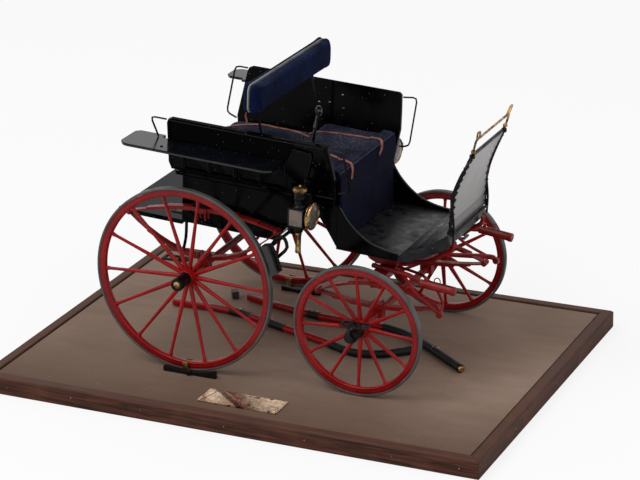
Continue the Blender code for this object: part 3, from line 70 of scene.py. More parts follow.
LOG = logging.getLogger("phaeton")
MM = 0.001
Array = NDArray[np.float64]
Faces = NDArray[np.int64]
Colour = tuple[int, int, int]
Socket = bpy.types.NodeSocket
Level = Socket | float
Tone = Socket | Colour
Feed = Socket | float | Sequence[float]
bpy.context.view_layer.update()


class Axis(Enum):
    """An axis of the model."""

    X = "X"
    Y = "Y"
    Z = "Z"


class Hand(Enum):
    """A side of the carriage, with the sign that Y has there."""

    RIGHT = -1
    LEFT = 1

    def __str__(self) -> str:
        """The word that the names of that side's pieces end in."""
        return self.name.lower()


SIDES = tuple(hand.value for hand in Hand)


# Shapes.


@dataclass(frozen=True)
class Place:
    """A frame of the carriage.

    origin is in world millimetres, and pitch is how far its nose drops, in degrees.
    """

    origin: tuple[float, float, float]
    pitch: float = 0.0

    def world(self, points: Array) -> Array:
        """Gives world metres: x cos + z sin, y, z cos - x sin, and then the origin.

        Args:
            points: places in this frame, in millimetres, along the last axis.

        Returns:
            The same places in the world, in metres.
        """
        turn = math.radians(self.pitch)
        p = np.asarray(points, float)
        x = p[..., 0] * math.cos(turn) + p[..., 2] * math.sin(turn)
        z = p[..., 2] * math.cos(turn) - p[..., 0] * math.sin(turn)
        return (np.stack([x, p[..., 1], z], -1) + np.array(self.origin)) * MM


BOARD = Place((0.0, 0.0, 0.0))
CARRIAGE = Place((-57.4, 12.4, 12.2))
BODY = Place((-57.4, 12.4, 109.2), 3.5)
FORE = Place((75.5, 12.4, 12.2))


@dataclass(frozen=True)
class Patch:
    """A surface of points with faces of four and of three corners, each with its finish's number."""

    points: Array
    quads: Faces
    quad_finish: Faces
    tris: Faces
    tri_finish: Faces

    def outward(self) -> "Patch":
        """Turns every face round if the volume that they enclose is negative.

        The volume is the sum of a . (b x c) / 6 over triangles of corners a, b and c.

        Returns:
            This patch, or one with its faces turned round.
        """
        corners = np.concatenate([self.quads[:, :3], self.quads[:, [0, 2, 3]], self.tris])
        a, b, c = (self.points[corners[:, i]] for i in range(3))
        if np.einsum("ij,ij->", a - self.points.mean(0), np.cross(b - a, c - a)) >= 0:
            return self
        return Patch(self.points, self.quads[:, ::-1], self.quad_finish, self.tris[:, ::-1], self.tri_finish)

    def moved(self, change: Callable[[Array], Array]) -> "Patch":
        """The same faces on changed points."""
        return Patch(change(self.points), self.quads, self.quad_finish, self.tris, self.tri_finish)


def skin(rings: Array, loop: bool = False, finish: int | Sequence[int] = 0) -> Patch:
    """Joins rings of points, each closed on itself, and caps the first and last with a fan.

    Args:
        rings: places by ring, point and coordinate.
        loop: whether the last ring joins the first one, without caps.
        finish: one number, or one for each point of a ring, or for each gap between rings.

    Returns:
        The closed surface, facing outwards.
    """
    count, size = rings.shape[:2]
    gaps = count if loop else count - 1
    i, j = np.arange(gaps)[:, None], np.arange(size)[None, :]
    there, beside = (i + 1) % count, (j + 1) % size
    quads = np.stack([i * size + j, i * size + beside, there * size + beside, there * size + j], -1)
    given = np.asarray(finish)
    if given.ndim == 0 or (loop and len(given) == size):
        numbers = np.broadcast_to(given, (gaps, size))
    else:
        numbers = np.broadcast_to(given[:, None], (gaps, size))
    points = rings.reshape(-1, 3)
    tris = np.zeros((0, 3), int)
    if not loop:
        points = np.concatenate([points, rings[[0, -1]].mean(1)])
        ring = np.arange(size)
        after = (ring + 1) % size
        last, middle = (count - 1) * size, count * size
        first_fan = np.stack([np.full(size, middle), after, ring], -1)
        last_fan = np.stack([np.full(size, middle + 1), last + ring, last + after], -1)
        tris = np.concatenate([first_fan, last_fan])
    ends = np.repeat([numbers[0, 0], numbers[-1, 0]], size) if len(tris) else np.zeros(0, int)
    return Patch(points, quads.reshape(-1, 4), numbers.reshape(-1), tris, ends).outward()


def turned(
    profile: Sequence[Sequence[float]],
    segments: int,
    axis: Axis = Axis.Z,
    centre: Sequence[float] = (0.0, 0.0, 0.0),
    bored: bool = False,
    finish: int | Sequence[int] = 0,
    wave: Callable[[Array], Array] | None = None,
) -> Patch:
    """A turned surface.

    A point at radius r and place a goes to (r cos t, r sin t) across the axis and a along it.

    Args:
        profile: (radius, place on the axis) points, a closed outline if bored.
        segments: steps of t in the full turn.
        axis: the axis that it is turned about.
        centre: where the profile's zero is.
        bored: whether the profile keeps clear of the axis.
        finish: the finish's number, or one for each stretch of the profile.
        wave: gives a factor on the radius at each angle t.

    Returns:
        The closed surface.
    """
    angles = np.arange(segments) * 2 * math.pi / segments
    outline = np.asarray(profile, float)
    factor = np.ones(segments) if wave is None else wave(angles)
    radius = outline[:, 0][None, :] * factor[:, None]
    a = radius * np.cos(angles)[:, None]
    b = radius * np.sin(angles)[:, None]
    along = np.broadcast_to(outline[:, 1][None, :], a.shape)
    order = {Axis.X: (along, a, b), Axis.Y: (a, along, b), Axis.Z: (a, b, along)}[axis]
    rings = np.stack(order, -1) + np.asarray(centre, float)
    return skin(rings, True, finish) if bored else skin(rings.transpose(1, 0, 2), False, finish)


def eased(points: Sequence[Sequence[float]], rounds: int = 3, stations: int = 0) -> Array:
    """Rounds a route's corners, and spaces its points evenly.

    Each corner is cut at a quarter and three quarters of its sides, again and again.

    Args:
        points: the corners of the route.
        rounds: how often the corners are cut.
        stations: points on the finished route, or 0 to leave them as they fall.

    Returns:
        The rounded route with the same two ends.
    """
    path = np.asarray(points, float)
    for _ in range(rounds):
        cut = np.empty((2 * (len(path) - 1), path.shape[1]))
        cut[0::2] = 0.75 * path[:-1] + 0.25 * path[1:]
        cut[1::2] = 0.25 * path[:-1] + 0.75 * path[1:]
        path = np.concatenate([path[:1], cut[1:-1], path[-1:]])
    if not stations:
        return path
    steps = np.concatenate([[0.0], np.cumsum(np.linalg.norm(np.diff(path, axis=0), axis=1))])
    wanted = np.linspace(0.0, steps[-1], stations)
    return np.stack([np.interp(wanted, steps, path[:, i]) for i in range(path.shape[1])], -1)


def round_section(sides: int) -> Array:
    """A circle of radius one as (across, up) points."""
    angles = np.arange(sides) * 2 * math.pi / sides
    return np.stack([np.cos(angles), np.sin(angles)], -1)


def block_section(width: float, height: float, corner: float, steps: int = 3) -> Array:
    """A rectangle with rounded corners.

    Args:
        width: its size across.
        height: its size upwards.
        corner: the radius of its corners.
        steps: the points on each corner.

    Returns:
        Its outline as (across, up) points.
    """
    turn = np.radians(np.linspace(0.0, 90.0, steps))[None, :] + np.radians([[0.0], [90.0], [180.0], [270.0]])
    middles = np.array([[1, 1], [-1, 1], [-1, -1], [1, -1]]) * (width / 2 - corner, height / 2 - corner)
    return (middles[:, None, :] + corner * np.stack([np.cos(turn), np.sin(turn)], -1)).reshape(-1, 2)


def swept(
    path: Array,
    section: Array,
    scale: float | Sequence[float] = 1.0,
    up: Sequence[float] | None = None,
    loop: bool = False,
    finish: int | Sequence[int] = 0,
) -> Patch:
    """A section carried along a path: place + scale * (across * side + up * lift).

    side is the tangent crossed with up, and lift is side crossed with the tangent.

    Args:
        path: the places that the section goes through.
        section: (across, up) points, as one outline or one for each place.
        scale: a factor on the section, as one number or one for each place.
        up: the upward direction, or None for the one in which the tangents vary least.
        loop: whether the path is closed.
        finish: the finish's number, or one for each stretch.

    Returns:
        The closed surface.
    """
    path = np.asarray(path, float)
    if loop:
        tangent = np.roll(path, -1, 0) - np.roll(path, 1, 0)
    else:
        tangent = np.gradient(path, axis=0)
    tangent /= np.linalg.norm(tangent, axis=1, keepdims=True)
    if up is None:
        up = np.linalg.svd(tangent, full_matrices=True)[2][2]
    side = np.cross(tangent, np.asarray(up, float))
    side /= np.linalg.norm(side, axis=1, keepdims=True)
    lift = np.cross(side, tangent)
    sizes = np.broadcast_to(np.asarray(scale, float), (len(path),))[:, None, None]
    section = np.broadcast_to(section, (len(path), *section.shape[-2:]))
    offset = section[..., :1] * side[:, None, :] + section[..., 1:] * lift[:, None, :]
    return skin(path[:, None, :] + sizes * offset, loop, finish)


def repeated(patch: Patch, places: Array, turns: Array | None = None) -> Patch:
    """Copies of a small patch, each turned by its own matrix and then moved to its place.

    Args:
        patch: the shape.
        places: a place for each copy.
        turns: a matrix of three by three for each copy, or None where they stay unturned.

    Returns:
        All the copies as one patch.
    """
    places = np.asarray(places, float)
    count, size = len(places), len(patch.points)
    turns = np.broadcast_to(np.eye(3), (count, 3, 3)) if turns is None else turns
    points = np.einsum("kij,nj->kni", turns, patch.points) + places[:, None, :]
    shift = (np.arange(count) * size)[:, None, None]
    return Patch(
        points.reshape(-1, 3),
        (patch.quads[None] + shift).reshape(-1, 4),
        np.tile(patch.quad_finish, count),
        (patch.tris[None] + shift).reshape(-1, 3),
        np.tile(patch.tri_finish, count),
    )


def mirrored(patch: Patch, side: int) -> Patch:
    """The patch itself for the left side, and its mirror image across the middle for the right."""
    return patch if side > 0 else patch.moved(lambda p: p * (1, -1, 1)).outward()


def stud(radius: float, height: float, axis: Axis, segments: int = 8) -> Patch:
    """A low domed head with its foot at zero."""
    dome = ((radius, -0.2), (radius, height * 0.35), (radius * 0.72, height * 0.8), (radius * 0.25, height))
    return turned(dome, segments, axis)


# Finishes.


def linear(colour: Colour) -> tuple[float, float, float, float]:
    """A screen colour in linear light: ((c + 0.055) / 1.055) to the power 2.4, or c / 12.92 near black.

    Args:
        colour: red, green and blue, from 0 to 255.

    Returns:
        Red, green, blue and a full alpha, from 0 to 1.
    """
    share = np.asarray(colour, float) / 255
    value = np.where(share <= 0.04045, share / 12.92, ((share + 0.055) / 1.055) ** 2.4)
    return (float(value[0]), float(value[1]), float(value[2]), 1.0)


def feed(tree: bpy.types.NodeTree, node: bpy.types.Node, inputs: dict[str, Feed]) -> None:
    """Links inputs of a node to sockets, or sets them to values.

    Args:
        tree: the node tree.
        node: the node.
        inputs: by name, with underscores for spaces.
    """
    for name, value in inputs.items():
        target = node.inputs[name.replace("_", " ")]
        if isinstance(value, bpy.types.NodeSocket):
            tree.links.new(value, target)
        else:
            target.default_value = value


def add_node(tree: bpy.types.NodeTree, kind: str, **inputs: Feed) -> bpy.types.Node:
    """Adds a shader node.

    Args:
        tree: the node tree.
        kind: its type, without the first word.
        inputs: what its inputs get, by name.

    Returns:
        The node.
    """
    node = tree.nodes.new(f"ShaderNode{kind}")
    feed(tree, node, inputs)
    return node


class Pot:
    """The node tree of one material, and the small steps that every finish is made from."""

    def __init__(self, name: str) -> None:
        """Starts from Blender's own Principled shader.

        Args:
            name: the material's name.
        """
        self.material = bpy.data.materials.new(name)
        self.material.use_nodes = True
        self.tree = self.material.node_tree
        self.shader = self.tree.nodes["Principled BSDF"]
        self.place = self.node("TexCoord").outputs["Object"]

    def node(self, kind: str, **inputs: Feed) -> bpy.types.Node:
        """Adds a node to the material."""
        return add_node(self.tree, kind, **inputs)

    def set(self, **inputs: Feed) -> None:
        """Links or sets inputs of the shader."""
        feed(self.tree, self.shader, inputs)

    def noise(self, scale: float, detail: float = 4.0, stretch: Sequence[float] = (1, 1, 1)) -> Socket:
        """Cloudy noise over the object.

        Args:
            scale: its features to a metre.
            detail: how many finer layers it has.
            stretch: a factor on the coordinates along each axis.

        Returns:
            Its level, from 0 to 1.
        """
        mapping = self.node("Mapping", Scale=stretch, Vector=self.place)
        noise = self.node("TexNoise", Scale=scale, Detail=detail, Vector=mapping.outputs["Vector"])
        return noise.outputs["Fac"]

    def cells(self, scale: float) -> Socket:
        """The distance to the nearest of scattered points, of which there are scale to a metre."""
        return self.node("TexVoronoi", Scale=scale, Vector=self.place).outputs["Distance"]

    def ramp(self, socket: Socket, low: float, high: float, a: float = 0.0, b: float = 1.0) -> Socket:
        """Maps low..high to a..b, and holds the ends.

        Args:
            socket: the level to map.
            low: the level that becomes a.
            high: the level that becomes b.
            a: the new level at low.
            b: the new level at high.

        Returns:
            The mapped level.
        """
        node = self.node("MapRange", Value=socket, From_Min=low, From_Max=high, To_Min=a, To_Max=b)
        return node.outputs["Result"]

    def math(self, kind: str, a: Level, b: Level = 0.0) -> Socket:
        """One Math node.

        Args:
            kind: the node's operation.
            a: its first socket or number.
            b: its second socket or number.

        Returns:
            The result.
        """
        node = self.node("Math")
        node.operation = kind
        for socket, value in zip(node.inputs, (a, b)):
            if isinstance(value, (int, float)):
                socket.default_value = value
            else:
                self.tree.links.new(value, socket)
        return node.outputs["Value"]

    def coordinate(self, axis: Axis) -> Socket:
        """The object's coordinate along an axis, in metres."""
        return self.node("SeparateXYZ", Vector=self.place).outputs[axis.value]

    def away(self, axis: Axis, middle: float = 0.0) -> Socket:
        """How far a place is from a middle along an axis, on either side of it."""
        return self.math("ABSOLUTE", self.math("SUBTRACT", self.coordinate(axis), middle))

    def mix(self, share: Socket, a: Tone, b: Tone) -> Socket:
        """A blend of two colours.

        Args:
            share: how much of b there is, from 0 to 1.
            a: a socket or a screen colour.
            b: a socket or a screen colour.

        Returns:
            The blended colour.
        """
        node = self.node("Mix", Factor=share)
        node.data_type = "RGBA"
        for name, value in (("A", a), ("B", b)):
            socket = [s for s in node.inputs if s.name == name and s.type == "RGBA"][0]
            if isinstance(value, bpy.types.NodeSocket):
                self.tree.links.new(value, socket)
            else:
                socket.default_value = linear(value)
        return [s for s in node.outputs if s.type == "RGBA"][0]

    def over(self, tone: Tone, mask: Socket, strength: float, colour: Colour) -> Socket:
        """Lays a colour over a tone, as strong as a mask of 0 to 1 times a strength."""
        return self.mix(self.math("MULTIPLY", mask, strength), tone, colour)

    def bump(self, height: Socket, distance: float, strength: float = 1.0) -> None:
        """Raises the surface.

        Args:
            height: a level of 0 to 1.
            distance: the height in metres that 1 stands for.
            strength: how much of it shows.
        """
        node = self.node("Bump", Strength=strength, Distance=distance, Height=height)
        self.set(Normal=node.outputs["Normal"])


class Coating:
    """What the finishes have in common."""

    def make(self, name: str) -> bpy.types.Material:
        """Makes the finish's material.

        Args:
            name: the material's name.

        Returns:
            The material, with its nodes in place.
        """
        pot = Pot(name)
        self.fill(pot)
        return pot.material

    def fill(self, pot: Pot) -> None:
        """Fills the pot, in each finish's own way."""
        raise NotImplementedError


@dataclass(frozen=True)
class Paint(Coating):
    """Coach paint or varnish with worn patches and specks of dust.

    gloss is the shader's specular level, and dust the share of pale specks.
    """

    colour: Colour
    worn: Colour
    roughness: float = 0.2
    gloss: float = 0.3
    coat: float = 0.0
    dust: float = 0.5
    ripple: float = 0.00006

    def fill(self, pot: Pot) -> None:
        """Mixes the paint.

        Args:
            pot: the material's nodes.
        """
        patches = pot.ramp(pot.noise(55.0, 6.0), 0.42, 0.72)
        scuffs = pot.ramp(pot.noise(420.0, 3.0, (1.0, 0.25, 1.0)), 0.60, 0.80)
        tone = pot.over(self.colour, patches, 0.75, self.worn)
        tone = pot.over(tone, scuffs, 0.35, self.worn)
        specks = pot.ramp(pot.cells(260.0), 0.035, 0.075, self.dust, 0.0)
        pot.set(Base_Color=pot.mix(specks, tone, (188, 186, 182)))
        rough = pot.ramp(pot.noise(120.0, 5.0), 0.35, 0.75, self.roughness * 0.7, self.roughness * 1.8)
        pot.set(Roughness=rough)
        pot.set(Specular_IOR_Level=self.gloss, Coat_Weight=self.coat, Coat_Roughness=0.08)
        pot.bump(pot.noise(300.0, 3.0), self.ripple, 0.5)


@dataclass(frozen=True)
class Metal(Coating):
    """Bare metal with darker tarnish in patches and fine scratches.

    patches is their number to a metre, and low the noise level where tarnish begins.
    """

    colour: Colour
    tarnish: Colour
    roughness: float = 0.25
    patches: float = 150.0
    low: float = 0.40

    def fill(self, pot: Pot) -> None:
        """Makes the metal.

        Args:
            pot: the material's nodes.
        """
        share = pot.ramp(pot.noise(self.patches, 6.0), self.low, self.low + 0.25)
        pot.set(Base_Color=pot.mix(share, self.colour, self.tarnish))
        streaks = pot.noise(self.patches * 2.3, 4.0)
        pot.set(Roughness=pot.ramp(streaks, 0.3, 0.75, self.roughness * 0.7, self.roughness * 1.9))
        pot.set(Metallic=1.0)
        pot.bump(pot.noise(900.0, 2.0), 0.00003, 0.6)


@dataclass(frozen=True)
class PlateCopper(Coating):
    """A polished copper plate, with a brown band aslant over it, a thin line beside that and black flecks.

    The band's middle goes through (x, y), and x falls by slope for each unit of y, all in metres.
    """

    x: float = -0.0185
    y: float = -0.1015
    slope: float = 1.257
    half_band: float = 0.0026
    middle_y: float = -0.112
    polished: Colour = (250, 216, 180)
    brown: Colour = (98, 58, 36)
    fleck: Colour = (34, 22, 15)

    def fill(self, pot: Pot) -> None:
        """Polishes the plate.

        Args:
            pot: the material's nodes.
        """
        x = pot.math("SUBTRACT", pot.coordinate(Axis.X), self.x)
        y = pot.math("SUBTRACT", pot.coordinate(Axis.Y), self.y)
        aslant = pot.math("ABSOLUTE", pot.math("ADD", x, pot.math("MULTIPLY", y, self.slope)))
        ragged = pot.ramp(pot.noise(260.0, 4.0), 0.3, 0.7, -0.0006, 0.0006)
        reach = pot.math("ADD", aslant, ragged)
        band = pot.ramp(reach, self.half_band, self.half_band + 0.0008, 0.85, 0.0)
        steep = pot.math("ABSOLUTE", pot.math("SUBTRACT", x, pot.math("MULTIPLY", y, 0.25)))
        line = pot.ramp(steep, 0.0004, 0.0009, 0.8, 0.0)
        cloud = pot.ramp(pot.noise(70.0, 5.0), 0.52, 0.75, 0.0, 0.35)
        share = pot.math("MAXIMUM", pot.math("MAXIMUM", band, line), cloud)
        tone = pot.mix(share, self.polished, self.brown)
        edge = pot.ramp(pot.away(Axis.Y, self.middle_y), 0.005, 0.009)
        flecks = pot.ramp(pot.noise(380.0, 4.0, (0.5, 1.0, 1.0)), 0.56, 0.62)
        pot.set(Base_Color=pot.mix(pot.math("MULTIPLY", flecks, edge), tone, self.fleck))
        pot.set(Roughness=pot.ramp(pot.noise(200.0), 0.3, 0.7, 0.12, 0.3))
        pot.set(Metallic=1.0)


@dataclass(frozen=True)
class Clip(Coating):
    """Brass straps whose chock bars are painted black: y tells a bar from its strap, in metres."""

    right_edge: float = -0.0809
    left_edge: float = 0.0902

    def fill(self, pot: Pot) -> None:
        """Makes the two metals of the clips.

        Args:
            pot: the material's nodes.
        """
        y = pot.coordinate(Axis.Y)
        right = pot.math("LESS_THAN", y, self.right_edge)
        on_left, short = pot.math("GREATER_THAN", y, 0.0), pot.math("LESS_THAN", y, self.left_edge)
        bar = pot.math("MAXIMUM", right, pot.math("MULTIPLY", on_left, short))
        tarnish = pot.ramp(pot.noise(260.0, 5.0), 0.35, 0.6)
        brass = pot.mix(tarnish, (176, 138, 80), (88, 66, 42))
        paint = pot.mix(tarnish, (7, 7, 8), (20, 18, 17))
        pot.set(Base_Color=pot.mix(bar, brass, paint))
        pot.set(Metallic=pot.math("SUBTRACT", 0.9, pot.math("MULTIPLY", bar, 0.9)))
        pot.set(Specular_IOR_Level=0.12)
        pot.set(Roughness=pot.ramp(pot.noise(300.0), 0.3, 0.7, 0.3, 0.55))
        pot.bump(pot.noise(500.0), 0.00006, 0.5)


@dataclass(frozen=True)
class AxlePaint(Coating):
    """A red axle with black ends: the distance from the carriage's middle tells them apart, in metres."""

    middle: float = 0.0124
    ends: float = 0.0880

    def fill(self, pot: Pot) -> None:
        """Makes the two paints of the axle.

        Args:
            pot: the material's nodes.
        """
        end = pot.math("GREATER_THAN", pot.away(Axis.Y, self.middle), self.ends)
        worn = pot.ramp(pot.noise(260.0, 5.0), 0.4, 0.65)
        red = pot.mix(worn, (132, 16, 18), (92, 14, 14))
        black = pot.mix(worn, (9, 9, 10), (34, 32, 31))
        pot.set(Base_Color=pot.mix(end, red, black))
        pot.set(Roughness=pot.ramp(pot.noise(300.0), 0.3, 0.7, 0.25, 0.5))
        pot.set(Specular_IOR_Level=0.14)
        pot.bump(pot.noise(500.0), 0.00006, 0.5)


@dataclass(frozen=True)
class PanelStain(Coating):
    """A matt stained panel, darker along its near edge, with grain, scratches and crumbs of dirt."""

    dark: Colour = (126, 104, 89)
    pale: Colour = (149, 126, 112)
    near: Colour = (80, 58, 45)
    grain: Colour = (90, 74, 64)
    scratch: Colour = (142, 126, 112)
    speck: Colour = (74, 58, 50)
    dirt: Colour = (66, 52, 44)

    def fill(self, pot: Pot) -> None:
        """Stains the panel.

        Args:
            pot: the material's nodes.
        """
        blotch = pot.ramp(pot.noise(9.0, 5.0), 0.35, 0.7)
        grain = pot.ramp(pot.noise(90.0, 5.0, (0.35, 1.0, 1.0)), 0.3, 0.75)
        tone = pot.over(pot.mix(blotch, self.dark, self.pale), grain, 0.25, self.grain)
        near = pot.ramp(pot.coordinate(Axis.Y), -0.135, -0.045, 0.75, 0.0)
        tone = pot.mix(near, tone, self.near)
        scratch = pot.ramp(pot.noise(420.0, 2.0, (0.5, 1.0, 1.0)), 0.66, 0.76)
        tone = pot.over(tone, scratch, 0.4, self.scratch)
        specks = pot.ramp(pot.noise(700.0, 2.0), 0.66, 0.74, 0.0, 0.35)
        tone = pot.mix(specks, tone, self.speck)
        crumbs = pot.ramp(pot.cells(75.0), 0.012, 0.03, 0.7, 0.0)
        pot.set(Base_Color=pot.mix(crumbs, tone, self.dirt))
        pot.set(Roughness=pot.ramp(blotch, 0.0, 1.0, 0.62, 0.8))
        pot.set(Specular_IOR_Level=0.1)
        pot.bump(pot.noise(420.0, 4.0, (0.4, 1.0, 1.0)), 0.00012, 0.5)


@dataclass(frozen=True)
class Moulding(Coating):
    """Dark stained timber in four mitred lengths, each with its grain along it, and a painted highlight that
    lightens its upper face.

    half_length and half_width are the frame's, in metres: where the way in from
    an end equals the way in from a side there is a mitre. top is the height from
    which it counts as its upper face.
    """

    half_length: float = 0.194
    half_width: float = 0.141
    top: float = 0.0121
    dark: Colour = (44, 23, 18)
    pale: Colour = (84, 50, 37)
    worn: Colour = (112, 74, 54)
    faded: Colour = (96, 68, 56)
    # The paler tone that the painted highlight lays on the upper face.
    gap: Colour = (26, 15, 12)

    def fill(self, pot: Pot) -> None:
        """Stains the frame.

        Args:
            pot: the material's nodes.
        """
        from_end = pot.math("SUBTRACT", self.half_length, pot.away(Axis.X))
        from_side = pot.math("SUBTRACT", self.half_width, pot.away(Axis.Y))
        apart = pot.math("SUBTRACT", from_end, from_side)
        end_piece = pot.math("LESS_THAN", apart, 0.0)
        mitre = pot.ramp(pot.math("ABSOLUTE", apart), 0.00012, 0.0004, 0.8, 0.0)
        long_grain = pot.noise(520.0, 6.0, (0.06, 1.0, 1.0))
        end_grain = pot.noise(520.0, 6.0, (1.0, 0.06, 1.0))
        grain = pot.node("Mix", Factor=end_piece, A=long_grain, B=end_grain).outputs[0]
        tone = pot.mix(pot.ramp(grain, 0.35, 0.68), self.dark, self.pale)
        tone = pot.over(tone, pot.ramp(pot.noise(36.0, 5.0), 0.5, 0.8), 0.4, self.worn)
        # Painted highlight: the upper face is lightened as if lit from above.
        upper = pot.ramp(pot.coordinate(Axis.Z), self.top, self.top + 0.0009)
        tone = pot.over(tone, upper, 0.35, self.faded)
        pot.set(Base_Color=pot.mix(mitre, tone, self.gap))
        pot.set(Roughness=pot.ramp(grain, 0.3, 0.7, 0.48, 0.66))
        pot.set(Specular_IOR_Level=0.12)
        pot.bump(grain, 0.0002, 0.5)


@dataclass(frozen=True)
class Cloth(Coating):
    """Wool cloth: a fine weave, a short nap, lint caught on it, and pale specks where it faces up, partly
    dust and partly painted light.

    weave is its threads to a metre, nap the nap's depth in metres, and lint,
    sheen and dust are shares.
    """

    colour: Colour
    faded: Colour
    weave: float = 2600.0
    nap: float = 0.0002
    lint: float = 0.55
    sheen: float = 0.012
    dust: float = 0.5

    def fill(self, pot: Pot) -> None:
        """Weaves the cloth: the product of two sine waves across each other, under noise.

        Args:
            pot: the material's nodes.
        """
        tone = pot.mix(pot.ramp(pot.noise(60.0, 6.0), 0.35, 0.72), self.colour, self.faded)
        fuzz = pot.noise(1300.0, 4.0)
        tone = pot.mix(pot.ramp(fuzz, 0.45, 0.8, 0.0, 0.45), tone, self.faded)
        # Pale specks on upward faces: partly dust, partly painted light on the tops.
        tone = pot.mix(self.settled(pot), tone, (134, 132, 150))
        caught = pot.ramp(pot.cells(520.0), 0.04, 0.12, self.lint, 0.0)
        patch = pot.ramp(pot.noise(70.0, 3.0), 0.42, 0.60)
        pot.set(Base_Color=pot.mix(pot.math("MULTIPLY", caught, patch), tone, (150, 150, 156)))
        waves = []
        for axis in (Axis.X, Axis.Y):
            wave = pot.node("TexWave", Scale=self.weave / 20, Distortion=1.5, Vector=pot.place)
            wave.bands_direction = axis.value
            waves.append(wave.outputs["Fac"])
        threads = pot.math("MULTIPLY", *waves)
        pot.set(Roughness=0.95, Specular_IOR_Level=0.05, Sheen_Weight=self.sheen, Sheen_Roughness=0.6)
        pot.bump(pot.math("ADD", pot.math("MULTIPLY", threads, 0.5), fuzz), self.nap, 0.7)

    def settled(self, pot: Pot) -> Socket:
        """Pale specks in patches, thickest where the normal points up: partly dust, partly painted light on
        the upward faces.

        Args:
            pot: the material's nodes.

        Returns:
            The share of the dust's colour.
        """
        flecks = pot.ramp(pot.noise(1900.0, 3.0), 0.52, 0.70)
        facing = pot.node("SeparateXYZ", Vector=pot.node("NewGeometry").outputs["Normal"])
        # The share grows where the normal points up: painted light on the tops, as well as dust.
        upward = pot.ramp(facing.outputs["Z"], 0.35, 0.95, 0.06, self.dust)
        patches = pot.ramp(pot.noise(45.0), 0.3, 0.7)
        return pot.math("MULTIPLY", pot.math("MULTIPLY", flecks, upward), patches)


@dataclass(frozen=True)
class Hide(Coating):
    """Leather with a pebbled grain and rubbed patches.

    grain and patches are their numbers to a metre, and depth the grain's, in
    metres. Under the height hem, in metres, it is darkened by painted shade, which fades out above it.
    """

    colour: Colour
    rubbed: Colour
    roughness: float = 0.4
    gloss: float = 0.4
    grain: float = 1500.0
    patches: float = 40.0
    depth: float = 0.00005
    hem: float = 0.0

    def fill(self, pot: Pot) -> None:
        """Tans the leather.

        Args:
            pot: the material's nodes.
        """
        rubbed = pot.ramp(pot.noise(self.patches, 5.0), 0.38, 0.70)
        tone = pot.mix(rubbed, self.colour, self.rubbed)
        # Painted shade: darker under hem, fading out above it.
        if self.hem > 0.0:
            height = pot.coordinate(Axis.Z)
            shade = pot.ramp(height, self.hem, self.hem + 0.035, 0.5, 0.0)
            below = pot.ramp(height, self.hem - 0.0003, self.hem + 0.0002, 0.6, 0.0)
            tone = pot.mix(below, pot.mix(shade, tone, (92, 88, 87)), (66, 63, 62))
        crease = pot.ramp(pot.noise(700.0, 3.0, (0.3, 1.0, 1.0)), 0.62, 0.8, 0.0, 0.4)
        dark = tuple(int(c * 0.6) for c in self.colour)
        pot.set(Base_Color=pot.mix(crease, tone, dark))
        pot.set(Roughness=pot.ramp(rubbed, 0.0, 1.0, self.roughness, self.roughness * 1.4))
        pot.set(Specular_IOR_Level=self.gloss)
        pot.bump(pot.cells(self.grain), self.depth, 0.5)


@dataclass(frozen=True)
class Timber(Coating):
    """Plain wood with its grain along the axis that stretch is least on."""

    dark: Colour
    pale: Colour
    stretch: tuple[float, float, float] = (0.1, 1.0, 1.0)
    roughness: float = 0.55

    def fill(self, pot: Pot) -> None:
        """Cuts the wood.

        Args:
            pot: the material's nodes.
        """
        grain = pot.noise(600.0, 6.0, self.stretch)
        pot.set(Base_Color=pot.mix(pot.ramp(grain, 0.35, 0.7), self.dark, self.pale))
        pot.set(Roughness=pot.ramp(grain, 0.3, 0.7, self.roughness * 0.8, self.roughness * 1.2))
        pot.bump(grain, 0.00015, 0.5)


@dataclass(frozen=True)
class Glass(Coating):
    """Old glass with smears on it and faint waves in it."""

    tint: Colour = (150, 142, 132)
    smear: Colour = (96, 84, 72)

    def fill(self, pot: Pot) -> None:
        """Blows the glass.

        Args:
            pot: the material's nodes.
        """
        smear = pot.ramp(pot.noise(240.0, 3.0), 0.4, 0.8)
        pot.set(Base_Color=pot.mix(smear, self.tint, self.smear))
        pot.set(Roughness=pot.ramp(smear, 0.0, 1.0, 0.04, 0.25))
        pot.set(Transmission_Weight=0.7, IOR=1.45)
        pot.bump(pot.noise(200.0, 2.0), 0.00008, 0.4)


@dataclass(frozen=True)
class WhiteSheet(Coating):
    """Matt white, which glows by a share where the camera looks straight at it."""

    glow: float = 0.80

    def fill(self, pot: Pot) -> None:
        """Mixes the white and its glow.

        Args:
            pot: the material's nodes.
        """
        pot.set(Base_Color=(0.9, 0.9, 0.905, 1.0), Roughness=0.9, Specular_IOR_Level=0.1)
        glow = pot.node("Emission", Color=(1.0, 1.0, 1.0, 1.0))
        seen = pot.node("LightPath").outputs["Is Camera Ray"]
        blend = pot.node("MixShader", Fac=pot.math("MULTIPLY", seen, self.glow))
        pot.tree.links.new(pot.shader.outputs["BSDF"], blend.inputs[1])
        pot.tree.links.new(glow.outputs["Emission"], blend.inputs[2])
        feed(pot.tree, pot.tree.nodes["Material Output"], {"Surface": blend.outputs["Shader"]})


